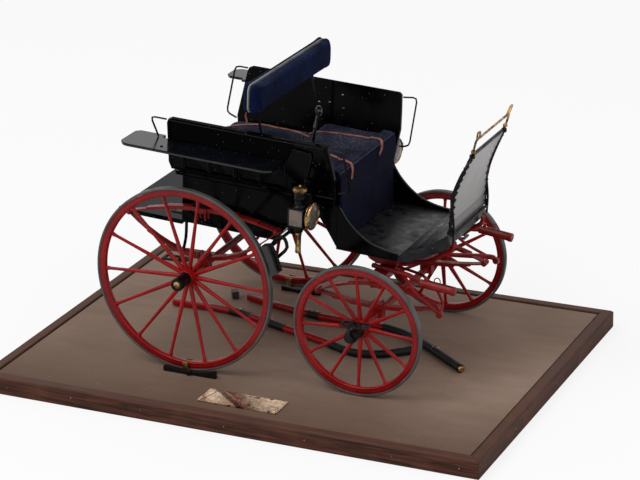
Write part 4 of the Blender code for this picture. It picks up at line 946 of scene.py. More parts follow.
class Finish(Enum):
    """The finishes of the model, each with the name of its material and its coating."""

    BOARD = "brown_stained_panel", PanelStain()
    FRAME = "dark_oak_moulding", Moulding()
    PLATE = "copper_plate", PlateCopper()
    BRASS = "old_brass", Metal((188, 150, 98), (70, 50, 30), roughness=0.26, patches=260.0, low=0.36)
    CLIP = "brass_clip_black_bar", Clip()
    RED = "red_coach_paint", Paint((142, 14, 16), (100, 8, 10), 0.22, 0.14, coat=0.05, dust=0.12)
    RED_IRON = "red_painted_iron", Paint((124, 22, 20), (76, 13, 12), 0.3, 0.16, coat=0.03, dust=0.3)
    LINE = "dark_pin_line", Paint((30, 7, 9), (18, 6, 8), roughness=0.3, dust=0.0)
    TYRE = "grey_tyre_band", Paint((74, 74, 73), (50, 50, 49), 0.45, 0.35, dust=0.35, ripple=0.0001)
    BLACK = "black_painted_iron", Paint((5, 5, 6), (18, 17, 17), roughness=0.3, gloss=0.12, ripple=0.0001)
    COACH = "black_coach_varnish", Paint((2, 2, 3), (5, 5, 6), roughness=0.14, gloss=0.05, dust=0.55)
    FLOOR = "scuffed_black_floor", Paint((8, 8, 10), (44, 45, 49), 0.34, 0.18, dust=0.8, ripple=0.0001)
    PATENT = "patent_leather", Paint((6, 7, 11), (14, 17, 24), roughness=0.13, gloss=0.45, ripple=0.0001)
    # The dash is black patent leather: its grey colour is painted reflection, with painted shade under its
    # fold.
    DASH = "dash_leather", Hide((152, 149, 148), (116, 113, 112), 0.3, 0.3, 900.0, 12.0, 0.00002, hem=0.1325)
    LEATHER = "black_wrap_leather", Hide((7, 7, 8), (24, 22, 21), roughness=0.42, gloss=0.16)
    STRAP = "tan_strap", Hide((150, 98, 84), (92, 56, 48), roughness=0.6, gloss=0.1, patches=160.0)
    WOOL = "navy_wool", Cloth((2, 5, 20), (9, 14, 40), dust=1.0)
    PLUSH = "navy_plush", Cloth((2, 9, 32), (8, 22, 60), nap=0.0003, lint=0.7, sheen=0.01, dust=0.4)
    # The seam thread's pale colour is painted highlight along the fall's top edge.
    THREAD = "seam_thread", Cloth((52, 54, 70), (84, 84, 92), 3200.0, 0.0001, lint=0, sheen=0, dust=0)
    PIPING = "grey_piping", Cloth((120, 118, 116), (160, 158, 152), 3200.0, 0.0001, lint=0, sheen=0, dust=0)
    STEEL = "bright_steel", Metal((150, 150, 148), (70, 69, 67), roughness=0.3, patches=400.0)
    WORN_STEEL = "worn_steel", Metal((96, 96, 95), (26, 26, 26), roughness=0.3, patches=520.0, low=0.38)
    PANE = "smoked_pane", Metal((112, 100, 94), (58, 52, 50), roughness=0.16, patches=90.0)
    LENS = "clear_lens", Glass()
    AXLE = "red_axle_black_ends", AxlePaint()
    BLOCK = "dark_brake_wood", Timber((14, 13, 14), (36, 33, 32), stretch=(1.0, 1.0, 0.15))
    WOOD = "bare_hardwood", Timber((24, 18, 15), (62, 46, 36))


@cache
def material(finish: Finish) -> bpy.types.Material:
    """The material of a finish, made when it is first asked for."""
    name, coating = finish.value
    return coating.make(name)


def dress(finish: Finish, *names: str) -> None:
    """Gives CAD nodes a finish in each of their slots.

    Args:
        finish: the finish.
        names: the nodes' names.
    """
    for name in names:
        node = frame["nodes"][name]
        if not node.material_slots:
            node.data.materials.append(None)
        for slot in node.material_slots:
            slot.material = material(finish)
        LOG.info("dressed %s in %s", name, finish.value[0])


def both(name: str) -> tuple[str, str]:
    """A node's name for the right and the left side."""
    return f"{name}_right", f"{name}_left"


def build(
    name: str,
    patches: Iterable[Patch],
    finishes: Sequence[Finish],
    place: Place,
    body: str,
    slot: str | None = None,
    stands_for: Sequence[str] = (),
    sharp: float = 38.0,
) -> bpy.types.Object:
    """Makes one piece from patches, dresses it and lets it ride on its body.

    Args:
        name: the piece's name.
        patches: its surfaces, in the millimetres of place.
        finishes: its finishes, in the order of their numbers.
        place: the frame that the points are in.
        body: the CAD body that carries it.
        slot: the record's material slot, if it has one; not used.
        stands_for: the CAD nodes that it replaces.
        sharp: edges steeper than this angle, in degrees, stay sharp.

    Returns:
        The finished object, at the origin.
    """
    patches = list(patches)
    starts = np.concatenate([[0], np.cumsum([len(p.points) for p in patches])])
    points = place.world(np.concatenate([p.points for p in patches]))
    quads = np.concatenate([p.quads + s for p, s in zip(patches, starts)])
    tris = np.concatenate([p.tris + s for p, s in zip(patches, starts)])
    numbers = np.concatenate([p.quad_finish for p in patches] + [p.tri_finish for p in patches])
    mesh = bpy.data.meshes.new(name)
    mesh.from_pydata(points.tolist(), [], quads.tolist() + tris.tolist())
    mesh.polygons.foreach_set("use_smooth", np.ones(len(mesh.polygons), bool))
    for finish in finishes:
        mesh.materials.append(material(finish))
    mesh.polygons.foreach_set("material_index", numbers.astype(np.int32))
    mesh.set_sharp_from_angle(angle=math.radians(sharp))
    mesh.update()
    return finished(bpy.data.objects.new(name, mesh), body, stands_for)


def finished(
    piece: bpy.types.Object, body: str, stands_for: Sequence[str] = ()
) -> bpy.types.Object:
    """Links a piece to the scene if it isn't there, lets it ride on its body, and hides the CAD nodes that it
    stands for.

    Args:
        piece: the object, at the origin.
        body: the CAD body that carries it.
        stands_for: the CAD nodes that it replaces.

    Returns:
        The same object.
    """
    if piece.name not in bpy.context.scene.collection.objects:
        bpy.context.scene.collection.objects.link(piece)
    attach(piece, body)
    if stands_for:
        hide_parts(*stands_for)
    LOG.info("built %s: %d faces on %s", piece.name, len(piece.data.polygons), body)
    return piece


# The board.


@dataclass
class DisplayBoard:
    """The stained panel in its moulding, its copper plate, and the shafts that lie on it."""

    half_length: float = 194.0
    half_width: float = 141.0
    pin_radius: float = 0.45
    pin_height: float = 0.16
    shaft_radius: float = 2.85
    shaft_height: float = 3.3
    sleeve_radius: float = 3.25
    staple_wire: float = 0.35
    near_route: tuple[tuple[float, float], ...] = (
        (-66, 16.3), (-17.6, 17.1), (11.8, 8.4), (37.2, -0.2), (79.8, -13.7), (102, -24.4), (125.1, -17),
        (140.2, -2.4),
    )
    far_route: tuple[tuple[float, float], ...] = (
        (-16.2, 46.1), (27.8, 33.7), (70, 28.5), (98.1, 31.2), (129.8, 22.9), (185.9, -20.4)
    )
    near_sleeves: tuple[tuple[float, float], ...] = ((-17.6, 2.8), (11.8, 37.2), (79.8, 140.5))
    far_sleeves: tuple[tuple[float, float], ...] = ((40.0, 52.0), (104.0, 186.5))

    def build(self) -> None:
        """Dresses the CAD pieces and adds the pins and the shafts."""
        dress(Finish.BOARD, "base_panel")
        dress(Finish.FRAME, "base_frame")
        dress(Finish.PLATE, "name_plate")
        dress(Finish.CLIP, *both("wheel_clip"))
        dress(Finish.WOOD, "loose_block")
        self.pins()
        self.shaft(Hand.RIGHT, self.near_route, self.near_sleeves, (-6.0, 22.0))
        self.shaft(Hand.LEFT, self.far_route, self.far_sleeves, (47.0, 158.0))

    def pins(self) -> None:
        """Small nail heads along the two outer faces of the moulding."""
        along = np.array([-171.0, -118.0, -62.0, 4.0, 66.0, 131.0, 180.0])
        front = np.stack([along, np.full(7, -self.half_width), 6.4 + 0.6 * np.sin(along)], -1)
        aside = np.array([-128.0, -70.0, 12.0, 88.0, 127.0])
        ends = np.stack([np.full(5, self.half_length), aside, 6.4 + 0.6 * np.cos(aside)], -1)
        head = mirrored(stud(self.pin_radius, self.pin_height, Axis.Y), Hand.RIGHT.value)
        side_head = stud(self.pin_radius, self.pin_height, Axis.X)
        patches = [repeated(head, front), repeated(side_head, ends)]
        build("frame_pins", patches, [Finish.STEEL], BOARD, "carriage")

    def sleeve(self, path: Array, start: float, end: float) -> Patch:
        """Leather sewn round a shaft, with a rolled lip at each end.

        Args:
            path: the shaft's middle line.
            start: the x where it begins.
            end: the x where it ends.

        Returns:
            The sleeve.
        """
        inside = (path[:, 0] >= start) & (path[:, 0] <= end)
        share = np.linspace(0.0, 1.0, int(inside.sum()))
        lip = 1 + 0.05 * (np.exp(-((share / 0.06) ** 2)) + np.exp(-(((1 - share) / 0.06) ** 2)))
        lip *= np.minimum(1.0, 0.98 + 0.02 * np.sin(share * 40.0))
        return swept(path[inside], round_section(16), self.sleeve_radius * lip / 1.05, up=(0, 0, 1))

    def shaft(
        self,
        hand: Hand,
        route: Sequence[Sequence[float]],
        sleeves: Sequence[Sequence[float]],
        staples: Sequence[float],
    ) -> None:
        """A bent red pole, square at its rear end, with black sleeves, staples and a tip.

        Args:
            hand: which shaft it is.
            route: its (x, y) places on the board.
            sleeves: the x where each sleeve begins and ends.
            staples: the x of each staple.
        """
        node = f"shaft_{hand}"
        path = eased([(x, y, self.shaft_height) for x, y in route], 3, 160)
        share = np.linspace(0.0, 1.0, len(path))
        taper = self.shaft_radius * (1 - 0.15 * np.exp(-(1 - share) / 0.05))
        square = np.clip((0.16 - share) / 0.04, 0.0, 1.0)[:, None, None]
        section = round_section(16)
        bar = np.sign(section) * np.abs(section) ** 0.35 * 0.86
        pole = swept(path, section * (1 - square) + bar * square, taper, up=(0, 0, 1))
        build(f"{node}_pole", [pole], [Finish.RED], CARRIAGE, "carriage", "red_paint", [node])
        wraps = [self.sleeve(path, *ends) for ends in sleeves]
        build(f"{node}_sleeves", wraps, [Finish.LEATHER], CARRIAGE, "carriage", "leather_black")
        arch = np.array([(-3.0, 0, 0.8), (-2.6, 0, 3.4), (0, 0, 4.6), (2.6, 0, 3.4), (3.0, 0, 0.8)])
        spots = [path[np.argmin(np.abs(path[:, 0] - x))] for x in staples]
        wires = [swept(eased(arch + at, 2), round_section(8) * self.staple_wire) for at in spots]
        end = path[-1] + (path[-1] - path[-2]) * np.array([[-0.6], [0.5], [1.2]])
        wires.append(swept(end, round_section(12), (2.62, 2.6, 1.6), up=(0, 0, 1)))
        build(f"{node}_staples", wires, [Finish.BRASS], CARRIAGE, "carriage", "brass")


# Wheels.


@dataclass
class RoadWheel:
    """A dished wheel about Y: a lined felloe, tapered spokes, a turned hub, its nose and its tyre."""

    end: str
    hand: Hand
    radius: float
    spokes: int
    rim_y: float
    hub_y: float
    place: Place
    axle_z: float
    tyre: float = 1.6
    clear: float = 0.3
    rim_depth: float = 4.7
    rim_width: float = 4.4
    tyre_width: float = 4.7
    barrel: float = 5.4
    bore: float = 3.0
    facets: int = 8

    def build(self) -> None:
        """The wheel's four pieces."""
        self.felloe()
        self.spoke_set()
        self.band()
        self.nose()

    @property
    def middle(self) -> tuple[float, float, float]:
        """The middle of the felloe."""
        return (0.0, self.hand.value * self.rim_y, self.axle_z)

    @property
    def rim(self) -> float:
        """The felloe's outer radius."""
        return self.radius - self.tyre - self.clear

    def felloe(self) -> None:
        """The rim's section carried round the wheel, with two thin dark lines on each face."""
        outer, inner, half = self.rim, self.rim - self.rim_depth, self.rim_width / 2
        face = [(outer - 0.15, half), (outer - 0.7, half), (outer - 1.2, half), (inner + 1.75, half)]
        face += [(inner + 1.25, half), (inner + 0.9, half), (inner + 0.3, half - 0.35), (inner, half - 1.0)]
        profile = [(outer, half - 0.15), *face, *((r, -a) for r, a in reversed(face)), (outer, 0.15 - half)]
        lines = np.zeros(len(profile), int)
        lines[[2, 4, 12, 14]] = 1
        ring = turned(profile, self.spokes * self.facets, Axis.Y, self.middle, True, lines)
        self.add("felloe", [ring], [Finish.RED, Finish.LINE], "red_wood", "wheel")

    def spoke_set(self) -> None:
        """The spokes run from the hub's plane out to the felloe's: thick at the hub, slim, and shouldered.

        Each is turned about Y by its own angle t: x = r cos t, z = r sin t.
        """
        hub = -self.hand.value * (self.rim_y - self.hub_y)
        share = np.array([0.0, 0.06, 0.16, 0.4, 0.7, 0.88, 0.94, 0.965, 1.0])
        size = np.array([1.45, 1.72, 1.68, 1.44, 1.20, 1.16, 1.22, 1.55, 1.55])
        reach = self.barrel + share * (self.rim - self.rim_depth + 0.5 - self.barrel)
        path = np.stack([reach, hub * (1 - share), np.zeros_like(share)], -1)
        spoke = swept(path, round_section(12) * (0.92, 1.0), size, up=(0, 0, 1))
        angles = 2 * math.pi * np.arange(self.spokes) / self.spokes
        c, s, o = np.cos(angles), np.sin(angles), np.zeros(self.spokes)
        turns = np.stack([np.stack([c, o, -s], -1), np.stack([o, o + 1, o], -1), np.stack([s, o, c], -1)], 1)
        places = np.broadcast_to(np.asarray(self.middle), (self.spokes, 3))
        outline = [(5.5, -5), (5.8, -4.7), (5.9, -4.1), (5.75, -3.8), (5.8, -3.4), (6.8, -1.8), (6.9, -0.9)]
        outline += [(r, -a) for r, a in reversed(outline)]
        outline = [(self.bore, -5), *outline, (self.bore, 5)]
        lines = np.zeros(len(outline), int)
        lines[[3, 4, 10, 11]] = 1
        hub_profile = [(r, hub + a) for r, a in outline]
        barrel = turned(hub_profile, 48, Axis.Y, self.middle, True, lines)
        patches = [repeated(spoke, places, turns), barrel]
        self.add("spokes", patches, [Finish.RED, Finish.LINE], "red_wood")

    def band(self) -> None:
        """The grey tyre, with its outer edges rounded off."""
        half, inner, r = self.tyre_width / 2, self.radius - self.tyre, self.radius
        edge = [(inner, half - 0.1), (inner + 0.1, half)]
        edge += [(r - 0.5, half), (r - 0.15, half - 0.18), (r, half - 0.6)]
        profile = [(radius, -a) for radius, a in edge] + edge[::-1]
        ring = turned(profile, self.spokes * self.facets, Axis.Y, self.middle, True)
        self.add("band", [ring], [Finish.TYRE], "tyre_band", "tyre", 50.0)

    def nose(self) -> None:
        """The black nose: closed by a brass disc on a rear wheel, and open round a nut on a front one."""
        side = self.hand.value
        seat = (0.0, side * (self.hub_y + 5.3), self.axle_z)
        outline = [(5.1, 0.0), (5.1, 0.8), (4.7, 1.6), (4.55, 2.4), (4.55, 10.2), (4.9, 10.7), (4.95, 11.4)]
        outline += [(4.7, 12.0), (4.6, 13.2), (4.3, 13.6)]
        if self.end == "front":
            profile = [(self.bore, 0.0), *outline, (self.bore, 13.6)]
            nut = [(3.05, 12.6), (4.15, 12.6), (4.25, 13.7), (4.05, 14.1), (3.2, 14.1), (3.05, 13.8)]
            parts = [turned(profile, 32, Axis.Y, bored=True), turned(nut, 24, Axis.Y, bored=True, finish=2)]
        else:
            profile = [*outline, (3.1, 13.6), (2.95, 13.0), (0.3, 12.95)]
            disc = [(2.6, 12.8), (2.6, 13.15), (2.2, 13.35), (1.2, 13.45), (0.6, 13.7), (0.2, 13.75)]
            parts = [turned(profile, 32, Axis.Y), turned(disc, 24, Axis.Y, finish=1)]
        parts = [p.moved(lambda q: q * (1, side, 1) + np.array(seat)).outward() for p in parts]
        self.add("nose", parts, [Finish.BLACK, Finish.BRASS, Finish.BLACK], "black_metal", "hub_cap")

    def add(
        self,
        part: str,
        patches: Sequence[Patch],
        finishes: Sequence[Finish],
        slot: str,
        node: str = "",
        sharp: float = 38.0,
    ) -> None:
        """Builds one part of the wheel on its body.

        Args:
            part: the piece's word for it.
            patches: its surfaces.
            finishes: its finishes.
            slot: the record's material slot.
            node: the CAD nodes' word for it, if it stands for one.
            sharp: the angle from which its edges are sharp, in degrees.
        """
        end, hand = self.end, self.hand
        stands_for = [f"{end}_{node}_{hand}"] if node else []
        build(f"{end}_{part}_{hand}", patches, finishes, self.place, f"{end}_{hand}", slot, stands_for, sharp)


# Springs, axles and the forecarriage.


@dataclass
class Undercarriage:
    """The red ironwork under the body, with its bolts, nuts and socket tips."""

    rear_spring: tuple[float, float, float, float, float] = (59.5, 55.0, 74.05, 29.5, 40.5)
    front_spring: tuple[float, float, float, float, float] = (46.0, 46.0, 52.64, 7.0, 20.4)
    spring_width: float = 6.2
    socket_y: float = 56.6

    def build(self) -> None:
        """Dresses the CAD ironwork and adds the small parts."""
        dress(Finish.RED_IRON, *both("rear_spring"), *both("front_spring"), "fore_frame", "transom")
        dress(Finish.AXLE, "rear_axle", "front_axle")
        dress(Finish.BLACK, *both("rear_step"))
        self.spring_bolts("rear", CARRIAGE, "carriage", self.rear_spring)
        self.spring_bolts("front", FORE, "forecarriage", self.front_spring)
        self.socket_tips()

    def spring_bolts(self, end: str, place: Place, body: str, spring: Sequence[float]) -> None:
        """Square nuts and bolt heads at the eyes and the crowns of a pair of springs.

        Args:
            end: rear or front.
            place: the springs' frame.
            body: the body that they are on.
            spring: half the length, the y, the lowest z, and the heights of eye and crown over it.
        """
        half, y, z, eye, rise = spring
        head = turned([(1.5, 0.0), (1.5, 0.8), (1.1, 1.1)], 6, Axis.Y)
        strap = eased([(0, -3.7, -0.6), (0, -3.9, 1.9), (0, 0.0, 2.6), (0, 3.9, 1.9), (0, 3.7, -0.6)], 2)
        patches = []
        for side in SIDES:
            for way in (1, -1):
                face = side * (y + way * self.spring_width / 2)
                spots = np.array([(x, face, z + eye) for x in (-half, half)])
                patches.append(repeated(mirrored(head, side * way), spots))
            for x in (-2.9, 2.9):
                for height in (3.2, rise - 3.6):
                    spot = np.array([x, side * y, z + height])
                    patches.append(swept(strap + spot, block_section(1.1, 0.7, 0.2)))
        build(f"{end}_spring_bolts", patches, [Finish.RED_IRON], place, body, "red_metal")

    def socket_tips(self) -> None:
        """The lipped ends of the shaft sockets, with painted shade as dark discs in their open ends and dark
        strips in their slots, and their staples and bolts.
        """
        tips, painted_bore_shade, wires = [], [], []
        at = self.socket_y
        arch = [(48.0, at, 81.6), (47.6, at, 85.0), (50.0, at, 87.0), (52.4, at, 85.4), (52.0, at, 81.4)]
        lips = np.array([(60.8, 56.27, 78.35), (63.0, 56.2, 78.09), (63.4, 56.18, 78.04)])
        for side in SIDES:
            ends = lips * (1, side, 1)
            tips.append(swept(ends, round_section(20), (3.3, 3.3, 3.0), up=(0, 0, 1)))
            # A dark disc inside the lip: painted shade in the socket's bore.
            bore = ends[-1] + np.array([(-0.4, 0, 0), (0.06, 0, 0)])
            painted_bore_shade.append(swept(bore, round_section(16), 2.2, up=(0, 0, 1)))
            # A dark strip along the socket: painted shade in its slot.
            slot = np.array([(44.0, side * at, 83.4), (52.0, side * 56.45, 82.45), (62.6, side * 56.2, 81.2)])
            painted_bore_shade.append(swept(slot, block_section(1.7, 0.5, 0.2), up=(0, 0, 1)))
            wires.append(swept(eased(np.array(arch) * (1, side, 1), 3), round_section(8) * 0.4))
            bolt = mirrored(turned([(1.3, -0.6), (1.3, 0.9), (0.9, 1.4)], 6, Axis.Y, (0, 3.0, 0)), side)
            wires.append(repeated(bolt, np.array([(39.5, side * at, 80.9), (56.5, side * at, 78.9)])))
        build("socket_tips", tips, [Finish.RED_IRON], FORE, "forecarriage", "red_metal")
        build("socket_bores", painted_bore_shade, [Finish.LINE], FORE, "forecarriage", "red_metal")
        build("socket_staples", wires, [Finish.RED_IRON], FORE, "forecarriage", "red_metal")


# The body.


@dataclass(frozen=True)
class SeatSide:
    """The outer face of a seat side, which flares out from its foot on the deck.

    foot is its y at the height deck, and flare its angle from upright, in degrees.
    """

    foot: float = 55.0
    deck: float = 42.0
    flare: float = 16.0

    def reach(self, w: Array | float) -> Array | float:
        """Its distance from the body's middle at a height."""
        return self.foot + (w - self.deck) * math.tan(math.radians(self.flare))

    def on(self, places: Sequence[Sequence[float]], side: int, out: float) -> Array:
        """Places on the face: u stays, and v and out become y and w by the flare.

        Args:
            places: (u, v) with v the height up the face from its foot.
            side: -1 for the right and 1 for the left.
            out: how far the places stand out from the face.

        Returns:
            The places in the body's frame.
        """
        lean = math.radians(self.flare)
        flat = np.asarray(places, float)
        y = self.foot + flat[:, 1] * math.sin(lean) + out * math.cos(lean)
        w = self.deck + flat[:, 1] * math.cos(lean) - out * math.sin(lean)
        return np.stack([flat[:, 0], side * y, w], -1)


SEAT_SIDE = SeatSide()


@dataclass
class BodySide:
    """The beads of one side of the body: round its seat side, boot, footwell and fender."""

    hand: Hand
    half_width: float = 50.0
    bead: float = 0.55
    line: float = 0.45
    post_first: float = -16.3
    post_pitch: float = 20.525

    def build(self) -> None:
        """Makes the four sets of beads."""
        self.side_beads()
        self.boot_beads()
        self.foot_beads()
        self.fender_trim()

    def side_beads(self) -> None:
        """Half-round beads round a seat side and along its panels, and the edge roll on its top."""
        side = self.hand.value
        edge = [(-26.0, 1.6), (102.0, 1.6), (102.6, 18.0), (101.3, 31.5), (98.2, 43.2), (-21.6, 43.2)]
        edge += [(-26.4, 7.0), edge[0]]
        loop = SEAT_SIDE.on(edge, side, 0.1)
        steps = np.linspace(0, 1, 15)[1:, None]
        dense = np.concatenate([a + (b - a) * steps for a, b in zip(loop, loop[1:])])
        patches = [swept(dense, round_section(8) * self.bead, loop=True, up=(0, side, 0.3))]
        for v in (2.9, 24.6):
            rail = SEAT_SIDE.on([(u, v) for u in np.linspace(-17.0, 66.5, 24)], side, 0.1)
            patches.append(swept(rail, round_section(8) * self.line, up=(0, side, 0.3)))
        for u in self.post_first + self.post_pitch * np.arange(5):
            post = SEAT_SIDE.on([(u, v) for v in np.linspace(3.0, 24.4, 8)], side, 0.1)
            patches.append(swept(post, round_section(8) * self.line, up=(1, 0, 0)))
        build(f"seat_side_beads_{self.hand}", patches, [Finish.COACH], BODY, "carriage", "body_paint")

    def boot_beads(self) -> None:
        """A bead along the lower edge of the boot and up round its cut-under."""
        y = self.hand.value * (self.half_width + 0.15)
        route = [(-18.4, 38.0), (-18.4, 2.4), (53.8, 2.4), (57.8, 7.0)]
        route += [(62.4, 13.4), (75.6, 21.1), (89.0, 26.6)]
        lower = swept(eased([(u, y, w) for u, w in route], 2, 60), round_section(8) * 0.5, up=(0, 1, 0))
        build(f"boot_beads_{self.hand}", [lower], [Finish.COACH], BODY, "carriage", "body_paint")

    def foot_beads(self) -> None:
        """The rolled upper edge of a footwell's cheek, and its bead along the floor."""
        side, rear, front = self.hand.value, 102.8, 149.7
        along = (0.0, 0.05, 0.15, 0.32, 0.49, 0.64, 0.81, 1.0)
        edge = np.column_stack([along, (37.0, 32.5, 26.0, 18.6, 13.6, 11.0, 9.4, 8.6)])
        y = np.full(len(edge), side * (self.half_width - 1.2))
        top = np.column_stack([rear + edge[:, 0] * (front - rear), y, edge[:, 1] + 0.1])
        roll = swept(eased(top, 2, 50), block_section(2.9, 1.0, 0.4), up=(0, 0.02, 1))
        low = np.array([(u, side * (self.half_width + 0.1), 5.2) for u in np.linspace(103.4, 149.2, 12)])
        patches = [roll, swept(low, round_section(8) * 0.5, up=(0, 0, 1))]
        build(f"foot_beads_{self.hand}", patches, [Finish.COACH], BODY, "carriage", "body_paint")

    def fender_trim(self) -> None:
        """The thin bead round a fender's edge, and its bolts: the left one is shorter behind and higher."""
        side, corner, outer, front = self.hand.value, 7.0, 86.7, 67.0
        rear, inner, top, end = (-53.0, 57.5, 68.0, 64.5) if side < 0 else (-44.5, 67.7, 74.0, 67.5)
        turn = np.radians(np.linspace(0, 90, 9))
        first = np.stack([front - corner + corner * np.cos(turn), outer - corner + corner * np.sin(turn)], -1)
        second = np.stack([rear + corner - corner * np.sin(turn), outer - corner + corner * np.cos(turn)], -1)
        last = [(rear, inner + 3.0), (rear + 3.0, inner), (-31.0, inner)]
        outline = np.concatenate([[(front, end)], first, second, last]) * (1, side)
        places = np.column_stack([outline, np.full(len(outline), top - 0.35)])
        bead = swept(places, round_section(8) * 0.4, up=(0, 0, 1))
        spots = np.array([(-22.0, side * 79.5, top), (44.0, side * 80.5, top)])
        bolts = repeated(stud(1.2, 0.7, Axis.Z, 12), spots)
        build(f"fender_trim_{self.hand}", [bead, bolts], [Finish.COACH], BODY, "carriage", "leather_black")


@dataclass
class CoachBody:
    """The varnished boot, seat sides, footwell and fenders, with their beads, rivets and rails."""

    strap_drop: float = 0.65

    def build(self) -> None:
        """Dresses the CAD body and adds its trim."""
        dress(Finish.COACH, "boot_shell", *both("seat_side"), *both("foot_side"), "tailboard")
        dress(Finish.FLOOR, "foot_floor")
        dress(Finish.PATENT, *both("fender"))
        dress(Finish.BLACK, *both("rear_rail"), *both("front_rail"), "backrest_iron")
        for hand in Hand:
            BodySide(hand).build()
        self.rivets()
        self.tail_trim()

    def rivets(self) -> None:
        """Four bright rivets on the inner face of each seat side."""
        spots = np.array([(37.0, 27.3), (45.4, 28.5), (56.8, 25.8), (54.9, 35.6)])
        patches = []
        for side in SIDES:
            head = mirrored(stud(0.95, 0.5, Axis.Y, 10), -side)
            patches.append(repeated(head, SEAT_SIDE.on(spots, side, -2.45)))
        build("seat_rivets", patches, [Finish.STEEL], BODY, "carriage")

    def tail_trim(self) -> None:
        """Two iron straps under the folding rear board and its three hinge straps."""
        drop, patches = self.strap_drop, []
        for y in (-31.5, 0.0, 31.5):
            line = np.array([(u, y, 0.55 - drop) for u in np.linspace(-37.0, -24.5, 6)])
            patches.append(swept(line, block_section(6.0, 0.6, 0.25), up=(0, 0, 1)))
            holes = np.array([(u, y, 0.85 - drop) for u in (-35.0, -29.0)])
            patches.append(repeated(stud(0.8, 0.35, Axis.Z), holes))
        for y in (-36.0, 36.0):
            line = np.array([(u, y, -4.1 - drop) for u in np.linspace(-73.0, -24.5, 12)])
            patches.append(swept(line, block_section(5.0, 1.0, 0.3), up=(0, 0, 1)))
        build("tailboard_irons", patches, [Finish.BLACK], BODY, "tail", "black_metal")


@dataclass
class Dash:
    """The leather dash laced to its iron, and the brass rein rail above it."""

    toe_end: float = 181.0
    foot: float = 25.0
    top: float = 84.0
    half_width: float = 32.4
    taper: float = 3.0
    thickness: float = 1.1
    lace_pitch: float = 5.4
    lean: tuple[tuple[float, float], ...] = (
        (1.0, 25.0), (1.1, 40.0), (1.8, 54.0), (5.2, 65.0), (8.6, 74.0), (13.0, 84.0)
    )

    def line(self, stations: int) -> Array:
        """The dash's middle line as even (u, w) places."""
        return eased([(self.toe_end + u, w) for u, w in self.lean], 2, stations)

    def half(self, w: Array | float) -> Array | float:
        """Half the dash's width at a height, narrowing evenly to its top."""
        return self.half_width - self.taper * self.risen(w)

    def risen(self, w: Array | float) -> Array | float:
        """A height as a share of the way from the dash's foot to its top."""
        return (w - self.foot) / (self.top - self.foot)

    def build(self) -> None:
        """Dresses the CAD iron and rail, and adds the leather and its lacing."""
        dress(Finish.BLACK, "dash_iron")
        dress(Finish.BRASS, "rein_rail")
        self.leather()
        self.lacing()

    def leather(self) -> None:
        """The stretched leather: a sheet over (across, along), with scallops where it is laced.

        It bellies 0.35 * (1 - across^2) forward, and a fold of 0.4 * exp(-((w - 34) / 0.7)^2)
        crosses it 9 above its foot.
        """
        path = self.line(40)
        across = np.linspace(-1.0, 1.0, 33)
        u, w = path[:, 0][:, None], path[:, 1][:, None]
        scallop = 0.25 * (np.cos(w * 2 * math.pi / self.lace_pitch) - 1) * np.abs(across)[None, :] ** 24
        y = across[None, :] * (self.half(w) - 0.2 + scallop)
        fold = 0.4 * np.exp(-(((w - 34.0) / 0.7) ** 2))
        belly = 0.35 * (1 - across[None, :] ** 2) * np.sin(math.pi * self.risen(w))
        middle = np.stack([u + belly - fold, y, np.broadcast_to(w, y.shape)], -1)
        step = np.array([self.thickness / 2, 0.0, 0.0])
        sheet = skin(np.concatenate([middle + step, (middle - step)[:, ::-1]], 1))
        where = (BODY, "carriage", "leather_grey", ["dash_panel"])
        piece = build("dash_leather", [sheet], [Finish.DASH], *where, 60.0)

    def lacing(self) -> None:
        """Thongs round the iron, a knot in the leather for each, and clamps at the iron's corners."""
        path = self.line(60)
        steps = np.concatenate([[0.0], np.cumsum(np.linalg.norm(np.diff(path, axis=0), axis=1))])
        spots = np.arange(3.0, steps[-1] - 1.0, self.lace_pitch)
        u, w = np.interp(spots, steps, path[:, 0]), np.interp(spots, steps, path[:, 1])
        turn = np.linspace(0, 2 * math.pi, 13)[:-1]
        wrap = np.stack([1.5 * np.cos(turn), 1.7 * np.sin(turn), 0.4 * np.sin(turn)], -1)
        thong = swept(wrap, round_section(6) * 0.32, loop=True)
        knot = turned([(0.35, -0.75), (0.8, -0.4), (0.85, 0.2), (0.4, 0.75)], 8, Axis.X)
        clamp = turned([(1.4, -1.5), (2.0, -1.2), (2.0, 1.2), (1.4, 1.5)], 12, Axis.Z)
        wing = turned([(0.5, -1.3), (1.1, -0.6), (1.1, 0.6), (0.5, 1.3)], 8, Axis.Y)
        patches = []
        for side in SIDES:
            patches.append(repeated(thong, np.stack([u, side * (self.half(w) + 1.3), w], -1)))
            edge = np.stack([u + 0.75, side * (self.half(w) - 1.1), w + 0.6], -1)
            patches += [repeated(knot, edge), repeated(knot, edge + (-1.5, 0.0, 0.0))]
            low = (path[0, 0] + 0.2, side * (self.half(self.foot) + 1.5), self.foot + 1.4)
            high = (path[-1, 0] + 0.2, side * (self.half(self.top) + 1.5), self.top + 0.6)
            tips = np.array([high]) + [(0.3, 0.0, 2.6), (0.3, side * -1.6, 1.8)]
            patches += [repeated(clamp, np.array([low, high])), repeated(wing, tips)]
        build("dash_lacing", patches, [Finish.BLACK], BODY, "carriage", "black_metal")


# Soft pieces.


def bake(piece: bpy.types.Object) -> None:
    """Applies a piece's modifiers to its mesh.

    Args:
        piece: the piece.
    """
    graph = bpy.context.evaluated_depsgraph_get()
    made = bpy.data.meshes.new_from_object(piece.evaluated_get(graph), depsgraph=graph)
    piece.modifiers.clear()
    piece.data = made


def points_of(piece: bpy.types.Object) -> Array:
    """A piece's points.

    Args:
        piece: the piece.

    Returns:
        One row for each point.
    """
    flat = np.empty(len(piece.data.vertices) * 3)
    piece.data.vertices.foreach_get("co", flat)
    return flat.reshape(-1, 3)


def put(piece: bpy.types.Object, points: Array) -> None:
    """Writes a piece's points."""
    piece.data.vertices.foreach_set("co", points.ravel())
    piece.data.update()


